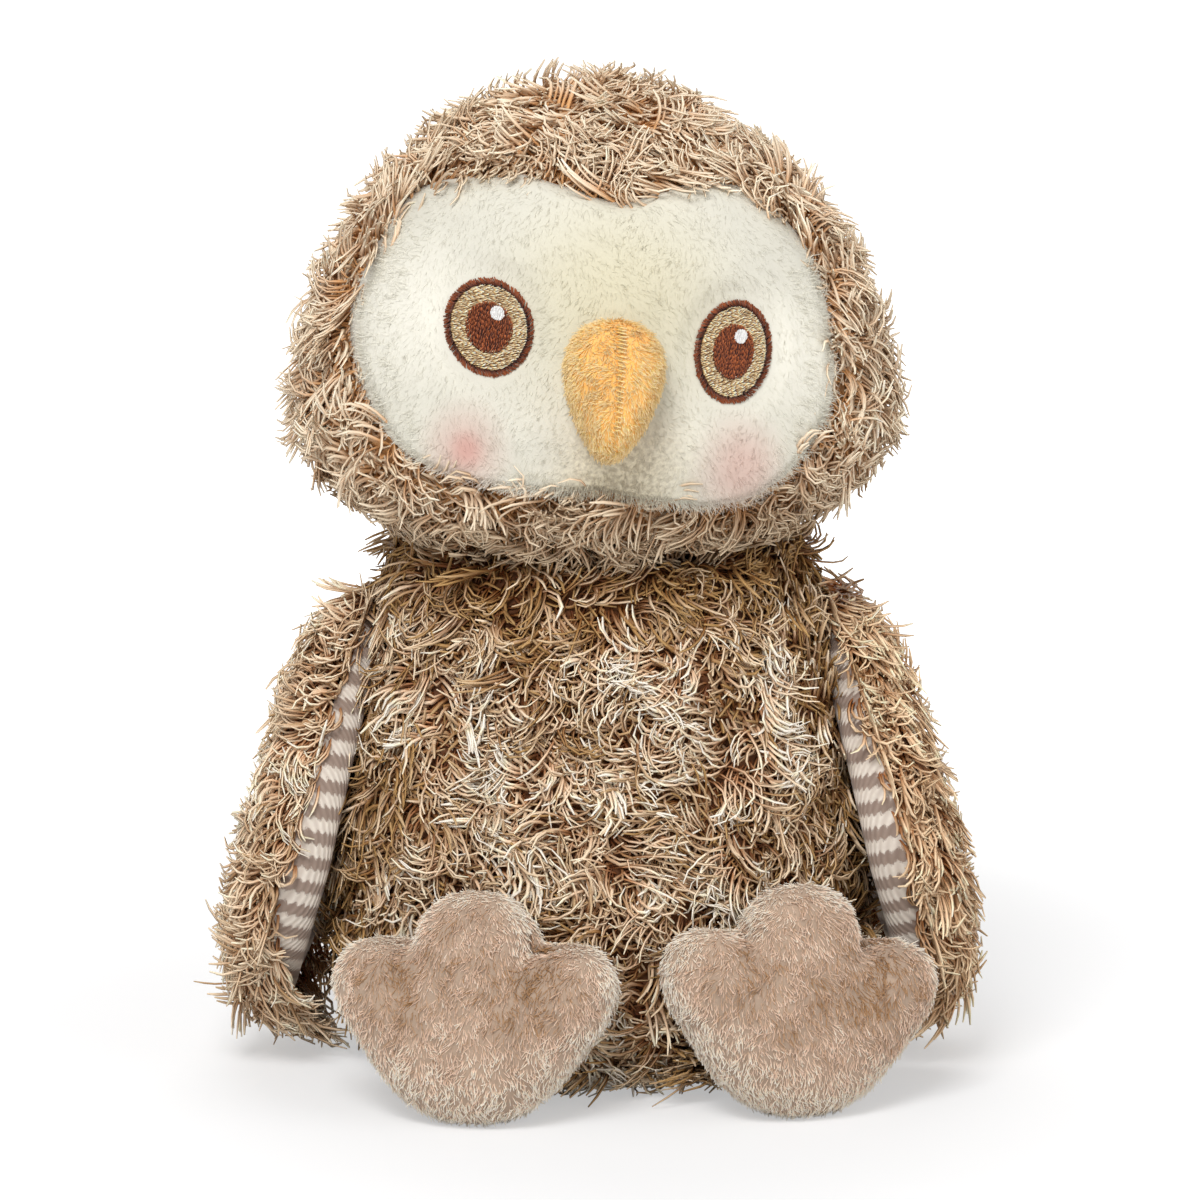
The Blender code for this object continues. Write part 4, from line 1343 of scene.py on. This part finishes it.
class OWL_OT_wings(bpy.types.Operator):
    """Makes both wings: pile outside, striped jersey inside."""

    bl_idname = "owl.wings"
    bl_label = "Wings"

    def execute(self, context):
        pile = context.scene.owl_pile
        colours = context.scene.owl_colours
        stripe = context.scene.owl_sizes.stripe
        ground = ground_material("wing_ground", colours.root, (0.9, 1.1, 1.6), (1.8, 2.2, 3.2))
        for number, (side_name, side) in enumerate(SIDES.items()):
            rng = np.random.default_rng(SEEDS["wings"] + number)
            place = wing_frame(side_name)
            body = f"{side_name}_wing"
            tones = (1.2, *WING_LIGHT_AND_SHADE_TONES[side_name])
            colour = yarn_material(f"{body}_pile", colours.root, colours, tones, 0.5)
            out = place.to_3x3().col[2]
            rule = pad_skin(place, wing_outline, WING_DOME, WING_EDGE_POWER)
            seam = (place.translation + out * (LINING_THICK + 0.1 * MM), -out)
            cover = skin(f"{body}_ground_fabric", rule, (72, 40), ground, -1.8 * MM, [seam])
            dress(cover, body, "fur_plush", f"{body}_cover", f"{body}_batting")
            jersey = lining_material(f"{side_name}_jersey", colours, stripe, place, number * 1.3)
            lining = skin(f"{side_name}_jersey_lining", self.rolled_lining(place, side), (96, 64), jersey)
            dress(lining, body, "striped_jersey", f"{body}_lining")
            base = skin(f"{body}_roots", rule, (96, 56), None, ROOT_LEVEL, [(place.translation, -out)])

            def wanted(places):
                return into(place, places)[:, 2] > 0.6 * MM

            def laid(roots, normals, look):
                room = 6 * MM - 2.2 * MM * ramp(roots[:, 2], 0.078, 16 * MM)
                lines, radii, shades = curl_locks(rng, roots, normals, look, room)
                local = into(place, lines)
                local[..., 2] = np.maximum(local[..., 2], -0.2 * MM)
                return out_of(place, local), radii, shades

            look = curly_look(pile, lift=0.7, final=0.05, length=0.95, swirl=1.6, mottle=0.9)
            parts = stand_locks(base, rng, pile, look, 0.84, wanted, laid)
            parts.append(self.rim_locks(rng, place, pile, side))
            for label, (lines, radii, shades) in zip(("pile", "under_pile", "edge_pile"), parts):
                lines[..., 2] = np.maximum(lines[..., 2], GROUND_GAP)
                dress(threads(f"{body}_{label}", lines, radii, shades, colour), body, "fur_plush")
        return {"FINISHED"}

    def rim_locks(self, rng, place, pile, side):
        """Locks along the wing's edge, which fall over the rim of the lining."""
        turn = np.array(place.to_3x3())
        angle = np.linspace(-math.pi, math.pi, EDGE_LOCKS, endpoint=False) + rng.normal(0, 0.01, EDGE_LOCKS)
        low = np.clip(-np.sin(angle), 0, 1)
        kept = rng.random(EDGE_LOCKS) < 0.45 + 0.55 * low
        angle, low = angle[kept], low[kept]
        ahead = wing_outline(angle + 0.01) - wing_outline(angle - 0.01)
        out = unit_rows(np.column_stack([ahead[:, 1], -ahead[:, 0], np.zeros(len(angle))]))
        inset = wing_outline(angle) - out[:, :2] * 1.2 * MM
        deep = np.where((low > 0.6) & (rng.random(len(angle)) < 0.5), -6.0, 0.2)
        roots = np.column_stack([inset, rng.uniform(deep, 2.2) * MM])
        front = np.clip(-side * np.cos(angle), 0, 1) * (1 - low)
        fall = np.where(front > 0.3, 0.35, 0.5 * front - 1.0)
        over = np.column_stack([np.zeros(len(angle)), -0.9 - 1.5 * low, fall])
        look = curly_look(pile, lift=0.6, final=-0.15, length=0.8, swirl=0.6, mottle=0.9)
        look["length"] = look["length"] * (1 + 0.5 * low[:, None])
        pull = (unit_rows(over) @ turn.T, rng.uniform(0.45, 0.9, len(angle)))
        return curl_locks(rng, out_of(place, roots), out @ turn.T, look, pull=pull)

    def rolled_lining(self, place, side):
        """A rule for the lining: flat on the cover, with a soft rolled rim that is deepest in front."""
        def rule(unit, lift=0.0):
            flat = np.hypot(unit[:, 0], unit[:, 1])
            angle = np.arctan2(unit[:, 1], unit[:, 0])
            edge = wing_outline(angle)
            edge = edge * (1 - 0.9 * MM / np.linalg.norm(edge, axis=1))[:, None]
            front = np.clip(-side * np.cos(angle), 0, 1) ** 0.7 * np.clip(0.9 - 0.5 * np.sin(angle), 0, 1)
            rim = np.sin(math.pi * ramp(flat, 0.35, 0.65) ** 3.2) ** 0.7
            roll = (LINING_ROLL + LINING_FRONT_ROLL * front) * rim
            high = np.where(unit[:, 2] > 0, LINING_THICK * (1 - flat ** 8), -roll)
            return out_of(place, np.column_stack([edge * flat[:, None], high]))
        return rule


# The creases between the toes, in millimetres: from where to where, how wide, and how deep in shares; the
# same shares darken their pile as painted shade

CREASES = (((-17.0, 15.5), (-11.5, 3.0), 4.4, 0.7), ((17.0, 15.5), (11.5, 3.0), 6.0, 1.1))
FOOT_THREADS = 13000


class OWL_OT_feet(bpy.types.Operator):
    """Makes both feet of short velvety plush, with their side seams."""

    bl_idname = "owl.feet"
    bl_label = "Feet"

    def execute(self, context):
        colours = context.scene.owl_colours
        plush = ground_material("foot_plush", colours.taupe, dark=0.5, light=0.8, grain=1000)
        tones = [tint(colours.taupe, factor) for factor in (0.6, 1.06, (1.32, 1.40, 1.58))]
        nap = thread_material(
            "foot_pile", tones,
            variation=0.56, warmth=1.2, roughness=0.7, sheen=0.2, shine=0.15, outline="foot",
        )
        length = context.scene.owl_sizes.foot_pile
        look = short_look(length, thick=0.15 * MM, lift=0.42, swirl=0.5, swirl_size=6 * MM)
        for number, side_name in enumerate(SIDES):
            rng = np.random.default_rng(SEEDS["feet"] + number)
            place = foot_frame(side_name)
            hinge = Vector(HINGES[f"{side_name}_foot_tip"])
            away = -Vector(foot_way(side_name))
            cuts = [(hinge, away), ((0, 0, 0.3 * MM), (0, 0, -1))]
            foot = skin(f"{side_name}_foot_plush", self.foot_skin(place), (120, 56), plush, -0.2 * MM, cuts)
            body = f"{side_name}_foot"
            dress(foot, body, "taupe_foot_plush", f"{body}_sole", f"{body}_upper", f"{body}_stuffing")

            def wanted(places):
                behind = (places - np.array(hinge)) @ np.array(away)
                return (behind < -0.5 * MM) & (places[:, 2] > 0.8 * MM)

            roots, normals = scatter(foot, FOOT_THREADS, rng, wanted)
            lines, radii, shades = curl_locks(rng, roots, normals, look)
            local = into(place, roots)
            facing = normals @ np.array(place.to_3x3())[:, 2]
            # Painted light: the pile is lighter where the foot's surface turns side-on, towards its edges,
            # and on its lower part
            shades += 1.30 * (1 - np.abs(facing)) ** 1.1 + 0.55 * ramp(local[:, 1], 0, -20 * MM) - 0.12
            shades += 0.10 * rolling(rng, roots, 3 * MM)
            # Painted shade: the pile is darker in the creases between the toes
            shades -= 0.95 * self.creases(local[:, :2]) * (facing > 0)
            lines[..., 2] = np.maximum(lines[..., 2], 0.1 * MM)
            dress(threads(f"{body}_pile", lines, radii, shades, nap), body, "taupe_foot_plush")
        return {"FINISHED"}

    def foot_skin(self, place):
        """The part's foot with a sunken seam round its edge and dimples between the toes."""
        plain = pad_skin(place, foot_outline, FOOT_HALF_THICK, FOOT_EDGE_POWER)

        def rule(unit, lift=0.0):
            seam = 0.7 * MM * np.exp(-(unit[:, 2] / 0.10) ** 2)
            flat = np.hypot(unit[:, 0], unit[:, 1]) ** FOOT_EDGE_POWER
            spots = foot_outline(np.arctan2(unit[:, 1], unit[:, 0])) * flat[:, None]
            return plain(unit, lift - seam - 3.4 * MM * self.creases(spots) * (unit[:, 2] > 0))
        return rule

    def creases(self, spots):
        """1 in the creases that run down the sole from between the toes, 0 away from them."""
        near = np.zeros(len(spots))
        for start, end, width, depth in CREASES:
            start = np.array(start) * MM
            run = np.array(end) * MM - start
            part = np.clip((spots - start) @ run / (run @ run), 0, 1)
            away = np.linalg.norm(spots - start - part[:, None] * run, axis=1)
            near = np.maximum(near, depth * np.exp(-(away / (width * MM)) ** 2) * (1 - 0.6 * part))
        return near


class OWL_OT_fillings(bpy.types.Operator):
    """Makes the fibre fillings of head and body, which the covers hide."""

    bl_idname = "owl.fillings"
    bl_label = "Fillings"

    def execute(self, context):
        fibre = ground_material("fibre", (1, 1, 1), (0.7, 0.7, 0.68), (0.86, 0.86, 0.84), grain=500)
        neck = ((0, 0, HEAD_LOW.z + 0.2 * MM), (0, 0, -1))
        head = skin("head_fibre_filling", self.lumpy(head_skin), (48, 32), fibre, -4.4 * MM, [neck])
        dress(head, "head", "fibre_stuffing", "head_stuffing")
        cuts = [((0, 0, BODY_HIGH.z - 0.2 * MM), (0, 0, 1)), ((0, 0, 2.5 * MM), (0, 0, -1))]
        body = skin("body_fibre_filling", self.lumpy(body_skin), (48, 32), fibre, -4.2 * MM, cuts)
        dress(body, "torso", "fibre_stuffing", "body_stuffing")
        return {"FINISHED"}

    def lumpy(self, rule):
        rng = np.random.default_rng(SEEDS["fillings"])

        def made(unit, lift=0.0):
            return rule(unit, lift - np.abs(0.8 * MM * rolling(rng, unit, 0.5)))
        return made


CAMERA_DISTANCE = 2.4
CAMERA_RISE = math.radians(12)
CAMERA_TARGET = Vector((0, 0, 0.0981))
FRAME_WIDTH = 0.252
SENSOR = 36.0

LIGHTS = {
    "key_light": {"place": (-0.25, -0.90, 1.05), "size": 0.55, "power": 13.6},
    "fill_light": {"place": (0.85, -0.55, 0.55), "size": 0.9, "power": 3.0},
    "back_light": {"place": (-0.1, 0.75, 0.85), "size": 0.8, "power": 5.0},
}


class OWL_OT_stage(bpy.types.Operator):
    """Makes the pale floor, the soft studio light and the camera."""

    bl_idname = "owl.stage"
    bl_label = "Stage"

    def execute(self, context):
        self.floor()
        self.world(context.scene)
        for name, look in LIGHTS.items():
            self.lamp(name, **look)
        self.camera(context.scene)
        context.scene.view_settings.view_transform = "Standard"
        return {"FINISHED"}

    def show(self, tree, light, seen, end):
        """Ends a tree with what the camera sees, and with what lights the scene for all other rays."""
        ray = node(tree, "ShaderNodeLightPath").outputs
        share = reckon(tree, "MAXIMUM", ray["Is Camera Ray"], ray["Is Glossy Ray"])
        pick = node(tree, "ShaderNodeMixShader", {0: share, 1: light.outputs[0], 2: seen.outputs[0]})
        tree.links.new(pick.outputs[0], tree.nodes[end].inputs["Surface"])

    def floor(self):
        bm = bmesh.new()
        bmesh.ops.create_grid(bm, x_segments=1, y_segments=1, size=6)
        made, tree, shader = new_finish("pale_floor", 1, 0, 0)
        shader.inputs["Base Color"].default_value = (0.9, 0.9, 0.9, 1)
        # Camera rays see a dim floor that glows: painted light, weakest near the owl so that it paints a
        # soft shade round it, and white further out
        plain = node(tree, "ShaderNodeBsdfDiffuse", {"Color": (0.50, 0.503, 0.51, 1)})
        away = node(tree, "ShaderNodeVectorMath", {0: object_place(tree)}, operation="LENGTH")
        level = ranged(tree, away.outputs["Value"], 0.09, 0.42, "SMOOTHSTEP", (0.45, 1.0))
        painted_glow = node(tree, "ShaderNodeEmission", {"Strength": level})
        total = node(tree, "ShaderNodeAddShader", {0: plain.outputs[0], 1: painted_glow.outputs[0]})
        self.show(tree, shader, total, "Material Output")
        finished(bm, "floor", made)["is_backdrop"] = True

    def world(self, scene):
        world = bpy.data.worlds.new("studio")
        world.use_nodes = True
        tree = world.node_tree
        soft = tree.nodes["Background"]
        soft.inputs["Color"].default_value = (1.0, 0.975, 0.945, 1)
        soft.inputs["Strength"].default_value = 0.34
        white = node(tree, "ShaderNodeBackground", {"Color": (1, 1, 1, 1), "Strength": 1})
        self.show(tree, soft, white, "World Output")
        scene.world = world

    def lamp(self, name, place, size, power):
        lamp = bpy.data.lights.new(name, "AREA")
        lamp.size = size
        lamp.energy = power
        made = bpy.data.objects.new(name, lamp)
        made.location = place
        made.rotation_euler = (CAMERA_TARGET - Vector(place)).to_track_quat("-Z", "Y").to_euler()
        bpy.context.scene.collection.objects.link(made)

    def camera(self, scene):
        lens = bpy.data.cameras.new("camera")
        lens.sensor_width = SENSOR
        lens.lens = SENSOR * CAMERA_DISTANCE / FRAME_WIDTH
        made = bpy.data.objects.new("camera", lens)
        back = Vector((0, -math.cos(CAMERA_RISE), math.sin(CAMERA_RISE)))
        made.location = CAMERA_TARGET + back * CAMERA_DISTANCE
        made.rotation_euler = (math.radians(90) - CAMERA_RISE, 0, 0)
        scene.collection.objects.link(made)
        scene.camera = made


class OWL_PT_panel(bpy.types.Panel):
    """Lists the owl's pieces and their sizes and colours."""

    bl_label = "Plush Owl"
    bl_idname = "OWL_PT_panel"
    bl_space_type = "VIEW_3D"
    bl_region_type = "UI"
    bl_category = "Owl"

    def draw(self, context):
        for settings in (context.scene.owl_pile, context.scene.owl_sizes, context.scene.owl_colours):
            for name in settings.__annotations__:
                self.layout.prop(settings, name)
        for operator in OPERATORS:
            self.layout.operator(operator.bl_idname)


OPERATORS = [
    OWL_OT_stage, OWL_OT_fillings, OWL_OT_body, OWL_OT_head, OWL_OT_face,
    OWL_OT_eyes, OWL_OT_beak, OWL_OT_wings, OWL_OT_feet,
]
CLASSES = [OwlPile, OwlColours, OwlSizes, *OPERATORS, OWL_PT_panel]


def register():
    for made in CLASSES:
        bpy.utils.register_class(made)
    bpy.types.Scene.owl_pile = PointerProperty(type=OwlPile)
    bpy.types.Scene.owl_colours = PointerProperty(type=OwlColours)
    bpy.types.Scene.owl_sizes = PointerProperty(type=OwlSizes)


def unregister():
    del bpy.types.Scene.owl_sizes
    del bpy.types.Scene.owl_colours
    del bpy.types.Scene.owl_pile
    for made in reversed(CLASSES):
        bpy.utils.unregister_class(made)


def main():
    register()
    bpy.ops.owl.stage()
    bpy.ops.owl.fillings()
    bpy.ops.owl.body()
    bpy.ops.owl.head()
    bpy.ops.owl.face()
    bpy.ops.owl.eyes()
    bpy.ops.owl.beak()
    bpy.ops.owl.wings()
    bpy.ops.owl.feet()
    boxes = {"cad": CAD_BOX, "visual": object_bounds()}
    {name: [list(map(float, corner)) for corner in box] for name, box in boxes.items()}


if __name__ == "__main__":
    main()
